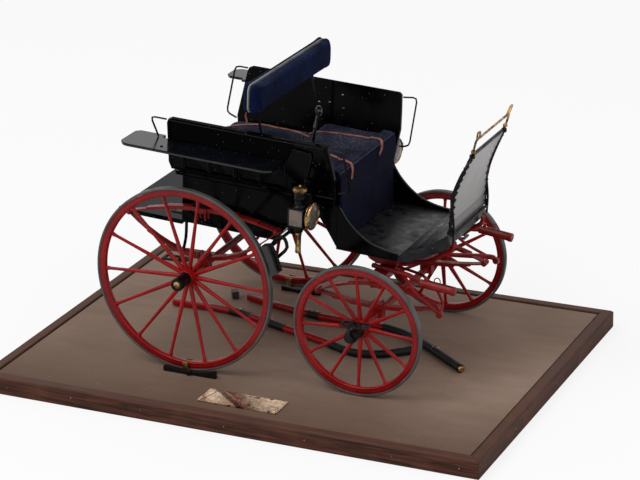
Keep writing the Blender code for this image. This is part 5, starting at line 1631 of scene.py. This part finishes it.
@dataclass(frozen=True)
class Cushion:
    """A seat cushion: the middle of its underside, half its plan, its height, its reach in u and its deck.

    slope is how far its top falls to its rear edge, and runs are the (u, y) routes of its straps.
    """

    node: str
    foot: tuple[float, float, float]
    half: tuple[float, float]
    height: float
    reach: tuple[float, float]
    deck: float
    slope: float
    runs: tuple[tuple[tuple[float, float], ...], ...]


@dataclass(frozen=True)
class BackrestPad:
    """A pad of the backrest: half its plan, its height, its foot's u, its way in u and its corners."""

    name: str
    half: tuple[float, float]
    height: float
    foot: float
    towards: int
    corner: float
    stands_for: tuple[str, ...]


@dataclass
class Upholstery:
    """Stuffed cushions and backrest, swollen as cloth at ten times their size, with straps and seams."""

    half_width: float = 49.6
    magnify: float = 10.0
    voxel: float = 14.0
    pressure: float = 4.0
    frames: int = 20
    cap: float = 14.0
    strap_width: float = 2.5
    strap_thick: float = 0.5
    fall_top: float = 61.75
    rest_middle: tuple[float, float, float] = (0.0, 6.0, 106.25)
    front_seat: Cushion = Cushion(
        "front_cushion", (73.7, 0.0, 53.5), (26.9, 49.2), 6.3, (45.9, 101.4), 53.15, 0.0,
        (
            ((46.8, 21.2), (72.0, 25.0), (96.0, 27.9), (99.6, 27.8)),
            ((46.8, -8.0), (65.0, -13.6), (83.3, -19.4), (96.7, -25.2), (99.6, -27.0)),
        ),
    )
    rear_seat: Cushion = Cushion(
        "rear_cushion", (7.7, 0.0, 42.6), (35.4, 49.2), 7.6, (-28.4, 43.9), 42.15, 2.8,
        (
            ((-25.5, 27.5), (-15.3, 31.4), (-4.0, 37.0), (4.0, 39.6), (22.6, 37.9), (42.0, 36.0)),
            ((-25.5, 14.5), (0.0, 16.6), (24.3, 18.4), (42.0, 20.0)),
        ),
    )
    pads: tuple[BackrestPad, BackrestPad] = (
        BackrestPad("backrest_cover", (11.5, 65.7), 7.5, 34.7, 1, 5.0, ("backrest_pad",)),
        BackrestPad("backrest_rear_pad", (12.5, 66.7), 3.5, 34.4, -1, 6.0, ()),
    )

    def build(self) -> None:
        """Makes every soft piece."""
        front = self.cushion(self.front_seat)
        rear = self.cushion(self.rear_seat)
        self.fall()
        self.straps(((self.front_seat, front), (self.rear_seat, rear)))
        self.backrest()

    def pad(self, half: Sequence[float], height: float, slope: float = 0.0, corner: float = 3.0) -> Patch:
        """A closed pad over (a, b) of -1..1, whose upper side rises by ((1 - a^10)(1 - b^12)) ^ 0.4.

        A place in a corner of the plan, d from that corner's middle, goes to
        d * max(|dx|, |dy|) / |d|, which turns the square corner into a round one.

        Args:
            half: half its length and half its width.
            height: its height at the middle.
            slope: how far its top falls towards its rear edge.
            corner: the radius of the plan's corners.

        Returns:
            The patch, about the middle of its underside.
        """
        turn_a, turn_b = np.linspace(-1, 1, 49), np.linspace(-1, 1, 73)
        crowded = (np.sign(turn) * np.abs(turn) ** 0.7 for turn in (turn_a, turn_b))
        a, b = np.meshgrid(*crowded, indexing="ij")
        swell = (np.maximum(0, 1 - a**10) * np.maximum(0, 1 - b**12)) ** 0.4
        top = height * 0.35 + (height * 0.65 - slope * np.clip(-a, 0, 1) ** 2) * swell
        low = height * 0.35 * (1 - swell)
        flat = np.stack([a * half[0], b * half[1]], -1)
        middle = np.sign(flat) * (np.array(half) - corner)
        away = flat - middle
        inside = (np.sign(flat) * away > 0).all(-1, keepdims=True)
        length = np.maximum(np.linalg.norm(away, axis=-1, keepdims=True), 1e-9)
        flat = np.where(inside, middle + away * np.abs(away).max(-1, keepdims=True) / length, flat)
        upper = np.concatenate([flat, top[..., None]], -1)
        lower = np.concatenate([flat, low[..., None]], -1)
        return skin(np.concatenate([upper, lower[:, ::-1]], 1))

    def puffed(self, name: str, patch: Patch, finish: Finish) -> bpy.types.Object:
        """Remeshes a pad evenly at ten times its size, blows it up as cloth and scales it back.

        Each point moves by no more than cap: its travel d becomes d * min(1, cap / |d|).

        Args:
            name: the piece's name.
            patch: the pad, in millimetres.
            finish: its cloth.

        Returns:
            The piece, with its points still in the pad's millimetres.
        """
        mesh = bpy.data.meshes.new(name)
        scale = self.magnify * MM
        faces = patch.quads.tolist() + patch.tris.tolist()
        mesh.from_pydata((patch.points * scale).tolist(), [], faces)
        piece = bpy.data.objects.new(name, mesh)
        bpy.context.scene.collection.objects.link(piece)
        remesh = piece.modifiers.new("even", "REMESH")
        remesh.mode = "VOXEL"
        remesh.voxel_size = self.voxel * MM
        bake(piece)
        start = points_of(piece)
        cloth = piece.modifiers.new("stuffing", "CLOTH")
        cloth.settings.use_pressure = True
        cloth.settings.uniform_pressure_force = self.pressure
        cloth.settings.effector_weights.gravity = 0.0
        cloth.settings.quality = 6
        for step in range(1, self.frames + 1):
            bpy.context.scene.frame_set(step)
        bake(piece)
        bpy.context.scene.frame_set(1)
        moved = points_of(piece) - start
        length = np.linalg.norm(moved, axis=1, keepdims=True)
        moved *= np.minimum(1.0, self.cap * MM / np.maximum(length, 1e-9))
        put(piece, (start + moved) / scale)
        piece.data.materials.clear()
        piece.data.materials.append(material(finish))
        piece.data.polygons.foreach_set("use_smooth", np.ones(len(piece.data.polygons), bool))
        return piece

    def soft(self, piece: bpy.types.Object, stands_for: Sequence[str]) -> None:
        """Args:
            piece: the piece, in world metres.
            stands_for: the CAD nodes that it replaces.
        """
        smooth = piece.modifiers.new("smooth", "SUBSURF")
        smooth.levels = smooth.render_levels = 1
        finished(piece, "carriage", stands_for)

    def cushion(self, seat: Cushion) -> Array:
        """A seat cushion, pressed in under its straps.

        A strap at y0 sinks the top by 0.5 * exp(-((y - y0) / 1.8) ** 2), and lumps of
        0.16 * sin(0.31 x + 1) * sin(0.23 y) and 0.1 * sin(0.9 x + 0.6 y) lie over it.
        Past u = 94 it stays under the cloth that falls over its edge.

        Args:
            seat: the cushion's sizes.

        Returns:
            Its points in the body's frame, for the straps to lie on.
        """
        piece = self.puffed(f"{seat.node}_cover", self.pad(seat.half, seat.height, seat.slope), Finish.WOOL)
        points = points_of(piece) + np.array(seat.foot)
        u, y, w = points.T
        share = np.clip((w - seat.deck) / seat.height, 0.0, 1.0)
        for route in seat.runs:
            pressed = np.exp(-(((y - np.interp(u, *np.array(route).T)) / 1.8) ** 2))
            w -= 0.5 * share * pressed
        w += share * 0.16 * np.sin(u * 0.31 + 1.0) * np.sin(y * 0.23)
        w += share * 0.10 * np.sin(u * 0.9 + y * 0.6)
        u[:] = np.clip(u, *seat.reach)
        y[:] = np.clip(y, -self.half_width, self.half_width)
        w[:] = np.maximum(w, seat.deck + 0.15)
        w[:] = np.where(u > 94.0, np.minimum(w, 60.3), w)
        put(piece, BODY.world(points))
        self.soft(piece, [seat.node])
        return points

    def top_of(self, points: Array, u: Array, y: Array) -> Array:
        """The highest point of a cushion within 2.2 of each place (u, y)."""
        near = np.hypot(points[None, :, 0] - u[:, None], points[None, :, 1] - y[:, None]) < 2.2
        return np.where(near, points[None, :, 2], -1e3).max(1)

    def straps(self, seats: Sequence[tuple[Cushion, Array]]) -> None:
        """Two tan straps over both cushions, which turn down over the front edge.

        Args:
            seats: each cushion with its points.
        """
        ahead = (2.6, 4.3, 5.5, 5.7, 5.8)
        level = (ahead, (-0.8, -2.0, -3.6, -4.8, -5.6), (-0.2, -2.0, -4.6, -7.5, -10.0))
        aslant = (ahead, (-1.2, -3.6, -6.6, -9.2, -11.4), (-0.2, -2.0, -4.2, -6.2, -7.8))
        patches, stitches = [], []
        for seat, points, route in ((seat, points, route) for seat, points in seats for route in seat.runs):
            line = eased(route, 2, 44)
            w = self.top_of(points, line[:, 0], line[:, 1]) + 0.25
            w = np.convolve(np.pad(w, 3, mode="edge"), np.ones(7) / 7, "valid")
            path = np.column_stack([line, w])
            if seat is self.front_seat:
                laid = path[:, 0] > 93.0
                path[laid, 2] = np.maximum(path[laid, 2], self.fall_top)
                over = np.column_stack(aslant if path[-1, 1] > 0 else level)
                path = eased(np.concatenate([path, path[-1] + over]), 1)
            up = np.stack([-np.gradient(path[:, 2]), np.zeros(len(path)), np.gradient(path[:, 0])], -1)
            up /= np.linalg.norm(up, axis=1, keepdims=True)
            patches.append(self.ribbon(path, up))
            holes = np.arange(3, len(path) - 3, 3)
            for aside in (-0.95, 0.95):
                spots = path[holes] + up[holes] * 0.24 + np.array([0.0, aside, 0.0])
                stitches.append(repeated(stud(0.13, 0.08, Axis.Z, 5), spots))
        build("seat_straps", patches, [Finish.STRAP], BODY, "carriage", sharp=60.0)
        build("strap_stitches", stitches, [Finish.PIPING], BODY, "carriage")

    def ribbon(self, path: Array, up: Array) -> Patch:
        """A flat strap: place + across * side + lift * up, where side is the tangent crossed with up.

        Args:
            path: its middle line.
            up: an upward direction of length one for each place.

        Returns:
            The strap.
        """
        tangent = np.gradient(path, axis=0)
        tangent /= np.linalg.norm(tangent, axis=1, keepdims=True)
        side = np.cross(tangent, up)
        section = block_section(self.strap_width, self.strap_thick, self.strap_thick * 0.45)
        return skin(path[:, None] + section[None, :, :1] * side[:, None] + section[None, :, 1:] * up[:, None])

    def backrest(self) -> None:
        """A thick plush pad in front and a thin one behind, on a board whose pale edge shows between them."""
        middle = self.rest_middle
        for rest in self.pads:
            piece = self.puffed(rest.name, self.pad(rest.half, rest.height, corner=rest.corner), Finish.PLUSH)
            points = points_of(piece)
            u = rest.foot + rest.towards * np.maximum(points[:, 2], 0.0)
            y, w = middle[1] - points[:, 1], middle[2] + rest.towards * points[:, 0]
            grown = np.stack([np.clip(u, 30.9, 42.9), np.clip(y, -59.9, 71.9), np.clip(w, 94.55, 117.95)], -1)
            put(piece, BODY.world(grown))
            self.soft(piece, rest.stands_for)
        outline = block_section(2 * 64.7, 2 * 10.5, 5.0, 9)
        u = np.full(len(outline), 34.55)
        board = np.column_stack([u, outline[:, 0] + middle[1], outline[:, 1] + middle[2]])
        rings = np.stack([board - (0.3, 0.0, 0.0), board + (0.3, 0.0, 0.0)])
        build("backrest_board", [skin(rings)], [Finish.PIPING], BODY, "carriage")
        route = [(33.2, -57.0, 96.5), (32.2, -56.6, 93.5), (33.0, -56.0, 91.0), (33.4, -56.4, 88.5)]
        strap = swept(eased(route, 2, 16), block_section(0.5, 1.8, 0.2), up=(0, 1, 0))
        build("backrest_strap", [strap], [Finish.STRAP], BODY, "carriage")

    def fall(self) -> None:
        """The cloth from the floor up the seat's front and back over the cushion's front edge.

        Its path in (u, w) is offset by half its thickness along its normal, and waves by
        0.12 * sin(y / 7) towards its lower edge. It is 47 wide on each side, and 49.3 above the footwell.
        """
        route = [(104.9, 7.6), (104.6, 30.0), (104.3, 50.0), (104.2, 56.2), (102.8, 60.2), (99.6, 61.1)]
        path = eased([*route, (95.0, 61.2)], 3, 72)
        slope = np.gradient(path, axis=0)
        slope /= np.linalg.norm(slope, axis=1, keepdims=True)
        normal = np.stack([slope[:, 1], -slope[:, 0]], -1)
        w = path[:, 1][None, :]
        flare, tuck = np.clip((w - 39.0) / 7.0, 0.0, 1.0) ** 2, np.clip((w - 59.0) / 2.3, 0.0, 1.0) ** 2
        y = np.linspace(-1, 1, 97)[:, None] * (46.9 + (2.4 * flare - 2.0 * tuck))
        wave = 0.12 * np.sin(y / 7.0) * np.clip((50.0 - w) / 40.0, 0.0, 1.0)
        faces = []
        for half in (0.3, -0.3):
            places = path + normal * half
            height = np.broadcast_to(places[:, 1], y.shape)
            faces.append(np.stack([places[:, 0][None, :] + wave, y, height], -1))
        sheet = skin(np.concatenate([faces[0], faces[1][:, ::-1]], 1))
        where = (BODY, "carriage", "wool", ["seat_fall"])
        piece = build("seat_fall_cloth", [sheet], [Finish.WOOL], *where, 70.0)
        line = np.column_stack([np.full(60, 103.1), np.linspace(-48.9, 48.9, 60), np.full(60, 60.1)])
        line[:, 2] += 0.08 * np.sin(line[:, 1] * 1.7)
        # A seam along the fall's top edge, its pale thread a painted highlight.
        seam = swept(line, round_section(6) * 0.25, up=(1, 0, 0))
        build("fall_seam", [seam], [Finish.THREAD], BODY, "carriage")


# Lamps.


@dataclass
class CarriageLamp:
    """A candle lamp: glazed case, banded chimney, scalloped crown, brass candle tube, and its hinged lens."""

    hand: Hand
    u: float = 84.6
    y: float = 75.0
    w: float = 34.5
    half: tuple[float, float, float] = (6.25, 6.0, 7.5)
    ring: float = 10.0
    lens_u: float = 93.95
    lens_w: float = 36.0

    def build(self) -> None:
        """The lamp, its strap and its door."""
        hand = self.hand
        middle = np.array([self.u, hand.value * self.y, self.w])
        parts = [*self.case(), *self.top(), *self.candle_tube(), *self.bracket()]
        moved = [part.moved(lambda points: points + middle) for part in parts]
        finishes = [Finish.BLACK, Finish.BRASS, Finish.PANE]
        build(f"lamp_case_{hand}", moved, finishes, BODY, "carriage", "lamp_metal", [f"lamp_{hand}"])
        self.strap()
        self.door()

    def case(self) -> list[Patch]:
        """The case about its own middle, with rimmed panes, and the lens's drum.

        Returns:
            The patches, about the case's middle.
        """
        a, b, c = self.half
        levels = [(-c, 0.92), (0.5 - c, 0.99), (1.6 - c, 0.99), (1.7 - c, 0.94)]
        levels += [(c - 1.7, 0.94), (c - 1.6, 0.99), (c - 0.5, 0.99), (c, 0.9)]
        square = block_section(2 * a, 2 * b, 0.9)
        parts = [skin(np.stack([np.column_stack([square * k, np.full(len(square), z)]) for z, k in levels]))]
        pane, trim = block_section(9.8, 11.8, 0.4), block_section(10.6, 12.6, 0.6)
        across = np.ones(len(pane))
        depths = (0.0, 0.35)
        for out in (1, -1):
            faces = [np.column_stack([pane[:, 0], across * out * (b - 0.25 + d), pane[:, 1]]) for d in depths]
            rim = np.column_stack([trim[:, 0], across * out * (b - 0.1), trim[:, 1]])
            parts.append(skin(np.stack(faces), finish=2))
            parts.append(swept(rim, round_section(6) * 0.4, loop=True, up=(0, 1, 0)))
        back = [np.column_stack([across * (0.25 - a - d), pane * (0.98, 1.0)]) for d in depths]
        drum = [(5.6, a - 1.0), (6.2, a - 0.2), (8.2, a + 1.4), (9.3, a + 2.1), (9.4, a + 2.8)]
        drum_patch = turned(drum, 40, Axis.X, (0.0, 0.0, 1.5), finish=(0, 0, 0, 1))
        return [*parts, skin(np.stack(back), finish=2), drum_patch]

    def top(self) -> list[Patch]:
        """The banded chimney, its brass gallery, and the crown: seven scallops of 0.90 + 0.10 * |cos 7 t|.

        Returns:
            The patches, about the case's middle.
        """
        top = (0.0, 0.0, self.half[2])
        chimney = [(5.2, -0.3), (4.6, 0.7), (3.6, 1.5), (3.4, 4.4), (3.9, 5.0), (4.1, 5.4), (4.1, 6.6)]
        chimney += [(3.8, 7.0), (3.8, 7.8), (4.3, 8.2), (4.4, 9.0), (4.4, 11.6)]
        crown = [(4.2, 11.5), (5.4, 11.8), (5.5, 12.3), (5.1, 13.1)]
        crown += [(4.1, 13.9), (2.6, 14.4), (1.4, 14.6), (0.6, 14.5)]
        gallery = [(4.0, 11.0), (5.0, 11.1), (5.1, 11.5), (4.0, 11.7)]
        knob = [(0.9, 14.1), (1.0, 14.8), (0.6, 15.5), (0.2, 15.6)]
        return [
            turned(chimney, 32, centre=top),
            turned(crown, 80, centre=top, finish=1, wave=lambda t: 0.90 + 0.10 * np.abs(np.cos(7 * t))),
            turned(gallery, 40, centre=top, finish=1, wave=lambda t: 0.97 + 0.03 * np.cos(20 * t)),
            turned(knob, 10, centre=top, finish=1),
        ]

    def candle_tube(self) -> list[Patch]:
        """The black cup under the case and the brass tube that hangs from it.

        Returns:
            The patches, about the case's middle.
        """
        foot = (0.0, 0.0, -self.half[2])
        cup = [(2.3, -5.2), (2.9, -4.6), (3.1, -3.4), (4.2, -2.2), (5.0, -0.8), (5.0, 0.3)]
        stem = [(1.3, -20.6), (1.9, -20.3), (2.2, -19.4), (2.0, -18.6)]
        stem += [(2.0, -7.4), (2.35, -6.9), (2.35, -6.1), (2.0, -5.6), (2.0, -4.6)]
        return [turned(cup, 32, centre=foot), turned(stem, 24, centre=foot, finish=1)]

    def bracket(self) -> list[Patch]:
        """The arm from the case to the seat side, and its flange there.

        Returns:
            The patches, about the case's middle.
        """
        b, side = self.half[1], self.hand.value
        inner = -side * (self.y - SEAT_SIDE.reach(54.0) - 1.9)
        arm = [(0.0, -side * (b - 0.6), 4.0), (-1.5, -side * (b + 2.2), 6.0), (-2.4, inner, 13.0)]
        arm.append((-1.5, inner + side * 1.2, 19.5))
        outline = [(0.3, 0.0), (2.3, 0.05), (2.3, 0.5), (1.3, 0.8), (0.3, 0.85)]
        flange = mirrored(turned(outline, 16, Axis.Y, (-1.5, 0.0, 19.0)), side)
        foot = flange.moved(lambda q: q + np.array([0.0, inner - side * 1.2, 0.0]))
        return [swept(eased(arm, 3, 30), block_section(2.6, 1.9, 0.6)), foot]

    def strap(self) -> None:
        """The flat strap on the seat side that the lamp hangs from."""
        side = self.hand.value
        route = [(74.0, 79.5), (82.0, 79.0), (89.0, 78.2), (88.0, 73.0), (84.6, 62.0)]
        u, w = eased([*route, (82.4, 54.0), (82.0, 49.5)], 2, 40).T
        path = np.column_stack([u, side * (SEAT_SIDE.reach(w) + 0.75), w])
        band = swept(path, block_section(0.8, 2.4, 0.3))
        holes = np.array([(u, side * (SEAT_SIDE.reach(w) + 1.0), w) for u, w in ((76.0, 79.3), (87.6, 78.2))])
        heads = repeated(mirrored(stud(0.7, 0.4, Axis.Y), side), holes)
        build(f"lamp_strap_{self.hand}", [band, heads], [Finish.BLACK], BODY, "carriage", "lamp_metal")

    def door(self) -> None:
        """The hinged brass ring with its reeded edge, the domed lens in it and its knuckle."""
        hand, side, r, w = self.hand, self.hand.value, self.ring, self.lens_w
        middle = (self.lens_u, side * self.y, w)
        ring = [(8.5, 0.1), (9.0, 0.1), (9.6, 0.4), (r - 0.05, 1.0), (r - 0.05, 1.4), (9.6, 1.8), (9.2, 2.1)]
        ring += [(8.9, 2.0), (8.6, 1.4)]
        lens = [(8.65, 0.5), (8.65, 1.3), (7.4, 1.9), (5.6, 2.5), (3.4, 2.9), (1.2, 3.05), (0.3, 3.06)]
        mirror = [(8.4, 0.12), (8.4, 0.4), (5.0, 0.3), (2.5, 0.22), (0.4, 0.2)]
        leaf = [(u, side * (self.y + r + out), w) for u, out in ((94.6, -0.9), (94.7, -0.2), (94.85, 0.4))]
        parts = [
            turned(ring, 144, Axis.X, middle, True, 0, lambda t: 0.992 + 0.008 * np.cos(36 * t)),
            turned(lens, 48, Axis.X, middle, finish=1),
            turned(mirror, 32, Axis.X, middle, finish=2),
            turned([(0.9, -3.2), (0.9, 3.2)], 16, Axis.Z, (94.85, side * (self.y + r + 0.6), w)),
            swept(np.array(leaf), block_section(4.4, 0.6, 0.2), up=(1, 0, 0)),
        ]
        finishes = [Finish.BRASS, Finish.LENS, Finish.PANE]
        build(f"lamp_lens_{hand}", parts, finishes, BODY, f"door_{hand}", "lamp_glass", [f"lamp_door_{hand}"])


# The brake.


@dataclass
class HandBrake:
    """The black brake gear with its wooden blocks, their iron shoes and the worn grip of the lever."""

    lever_tip: tuple[float, float, float] = (95.3, -57.0, 198.9)
    wheel_radius: float = 69.85
    wheel_z: float = 70.15
    block_y: float = 87.0

    def build(self) -> None:
        """Dresses the CAD brake and adds the grip and the shoes."""
        dress(Finish.BLACK, "brake_gear")
        dress(Finish.BLOCK, *both("brake_block"))
        self.grip()
        self.shoes()

    def grip(self) -> None:
        """A flattened ring at the lever's tip, and the catch rod that runs down beside it."""
        turn = np.linspace(0, 2 * math.pi, 25)[:-1]
        ring = np.stack([2.0 * np.cos(turn), 0.4 * np.cos(turn), 3.6 * np.sin(turn)], -1) + self.lever_tip
        route = [(78.6, -55.7, 125.0), (84.5, -57.0, 149.0), (91.5, -58.9, 184.0), (94.4, -58.7, 195.5)]
        rod = eased(route, 2, 30)
        patches = [swept(ring, round_section(8) * 0.5, loop=True)]
        patches.append(swept(rod, round_section(8) * 0.42, up=(0, 1, 0)))
        for at in (4, 12, 20, 26):
            patches.append(swept(rod[at - 1 : at + 2], round_section(10) * 0.85, up=(0, 1, 0)))
        build("lever_grip", patches, [Finish.WORN_STEEL], CARRIAGE, "brake")

    def shoes(self) -> None:
        """The iron backing plates behind the blocks, along an arc about the wheel, with their bolts."""
        turn = np.radians(np.linspace(13.0, 27.5, 14))
        radius = self.wheel_radius + 2.6 + 4.8 + 0.35
        patches = []
        for side in SIDES:
            y = np.full(len(turn), side * self.block_y)
            path = np.stack([radius * np.cos(turn), y, self.wheel_z + radius * np.sin(turn)], -1)
            patches.append(swept(path, block_section(5.2, 0.9, 0.3)))
            patches.append(repeated(stud(0.9, 0.8, Axis.X), path[[3, 10]] + (0.3, 0.0, 0.0)))
        build("brake_shoes", patches, [Finish.BLACK], CARRIAGE, "brake", "black_metal")


# The photograph's set-up.


def posed(
    name: str, data: bpy.types.ID, right: Array, up: Array, back: Array, at: Sequence[float]
) -> bpy.types.Object:
    """Links an object whose axes X, Y and Z point along three directions.

    Args:
        name: its name.
        data: its camera or light.
        right: the direction of its X.
        up: the direction of its Y.
        back: the direction of its Z.
        at: its place, in metres.

    Returns:
        The object.
    """
    thing = bpy.data.objects.new(name, data)
    matrix = np.eye(4)
    matrix[:3] = np.column_stack([right, up, back, at])
    thing.matrix_world = Matrix(matrix.tolist())
    bpy.context.scene.collection.objects.link(thing)
    return thing


@dataclass
class Studio:
    """The pale floor, the plain light and the camera."""

    place: tuple[float, float, float] = (0.74508, -1.55951, 0.75721)
    back: tuple[float, float, float] = (0.39556, -0.84556, 0.35853)
    right: tuple[float, float, float] = (0.90578, 0.42373, 0.0)
    up: tuple[float, float, float] = (-0.15192, 0.32475, 0.93350)
    roll: float = -1.35
    lens: float = 142.535
    sensor: float = 36.0
    floor_size: float = 12.0
    floor_z: float = -0.0002
    key_power: float = 17.0
    fill_power: float = 5.95
    sky_level: float = 0.62

    def build(self) -> None:
        """Sets up everything around the model."""
        self.camera()
        self.lamp("key", (-0.7, -1.1, 1.7), 1.1, self.key_power)
        self.lamp("fill", (1.5, -0.6, 1.2), 1.3, self.fill_power)
        self.sky()
        self.floor()
        bpy.context.scene.view_settings.view_transform = "Standard"

    def camera(self) -> None:
        """The camera: its right and up vectors are turned by the roll about its line of sight."""
        angle = math.radians(self.roll)
        right, up, back = (np.array(v) for v in (self.right, self.up, self.back))
        turned_right = right * math.cos(angle) + up * math.sin(angle)
        turned_up = up * math.cos(angle) - right * math.sin(angle)
        data = bpy.data.cameras.new("camera")
        data.lens, data.sensor_width = self.lens, self.sensor
        data.clip_start, data.clip_end = 0.05, 60.0
        bpy.context.scene.camera = posed("camera", data, turned_right, turned_up, back, self.place)

    def lamp(self, name: str, at: Sequence[float], size: float, power: float) -> None:
        """A large soft lamp that points at the model.

        Args:
            name: its name.
            at: its place, in metres.
            size: its width, in metres.
            power: its power, in watts.
        """
        data = bpy.data.lights.new(name, "AREA")
        data.size, data.energy = size, power
        towards = np.array(at) - np.array([0.0, 0.0, 0.08])
        back = towards / np.linalg.norm(towards)
        right = np.cross((0.0, 0.0, 1.0), back)
        right /= np.linalg.norm(right)
        posed(name, data, right, np.cross(back, right), back, at)

    def sky(self) -> None:
        """An even white sky, dimmer as a light than where it is seen, mirrored or looked through."""
        world = bpy.data.worlds.new("studio")
        world.use_nodes = True
        tree = world.node_tree
        rays = add_node(tree, "LightPath").outputs
        seen = rays["Is Camera Ray"]
        for kind in ("Is Transmission Ray", "Is Glossy Ray"):
            either = add_node(tree, "Math")
            either.operation = "MAXIMUM"
            tree.links.new(seen, either.inputs[0])
            tree.links.new(rays[kind], either.inputs[1])
            seen = either.outputs[0]
        level = add_node(tree, "MapRange", Value=seen, To_Min=self.sky_level, To_Max=1.0)
        strength = level.outputs["Result"]
        feed(tree, tree.nodes["Background"], {"Color": (1.0, 1.0, 1.0, 1.0), "Strength": strength})
        bpy.context.scene.world = world

    def floor(self) -> None:
        """A pale sheet that the camera sees as white, with the model's shadow left on it."""
        half, z = self.floor_size / 2, self.floor_z
        mesh = bpy.data.meshes.new("studio_floor")
        corners = [(-half, -half, z), (half, -half, z), (half, half, z), (-half, half, z)]
        mesh.from_pydata(corners, [], [(0, 1, 2, 3)])
        mesh.materials.append(WhiteSheet().make("white_sheet"))
        sheet = bpy.data.objects.new("studio_floor", mesh)
        bpy.context.scene.collection.objects.link(sheet)


def main() -> None:
    """Builds the set-up and then each part of the model."""
    logging.basicConfig(level=logging.INFO, format="%(message)s")
    Studio().build()
    DisplayBoard().build()
    for hand in Hand:
        RoadWheel("rear", hand, 69.85, 14, rim_y=87.6, hub_y=81.0, place=CARRIAGE, axle_z=70.15).build()
    for hand in Hand:
        RoadWheel("front", hand, 48.74, 12, rim_y=82.7, hub_y=77.0, place=FORE, axle_z=49.04).build()
    Undercarriage().build()
    CoachBody().build()
    Dash().build()
    Upholstery().build()
    for hand in Hand:
        CarriageLamp(hand).build()
    HandBrake().build()


if __name__ == "__main__":
    main()
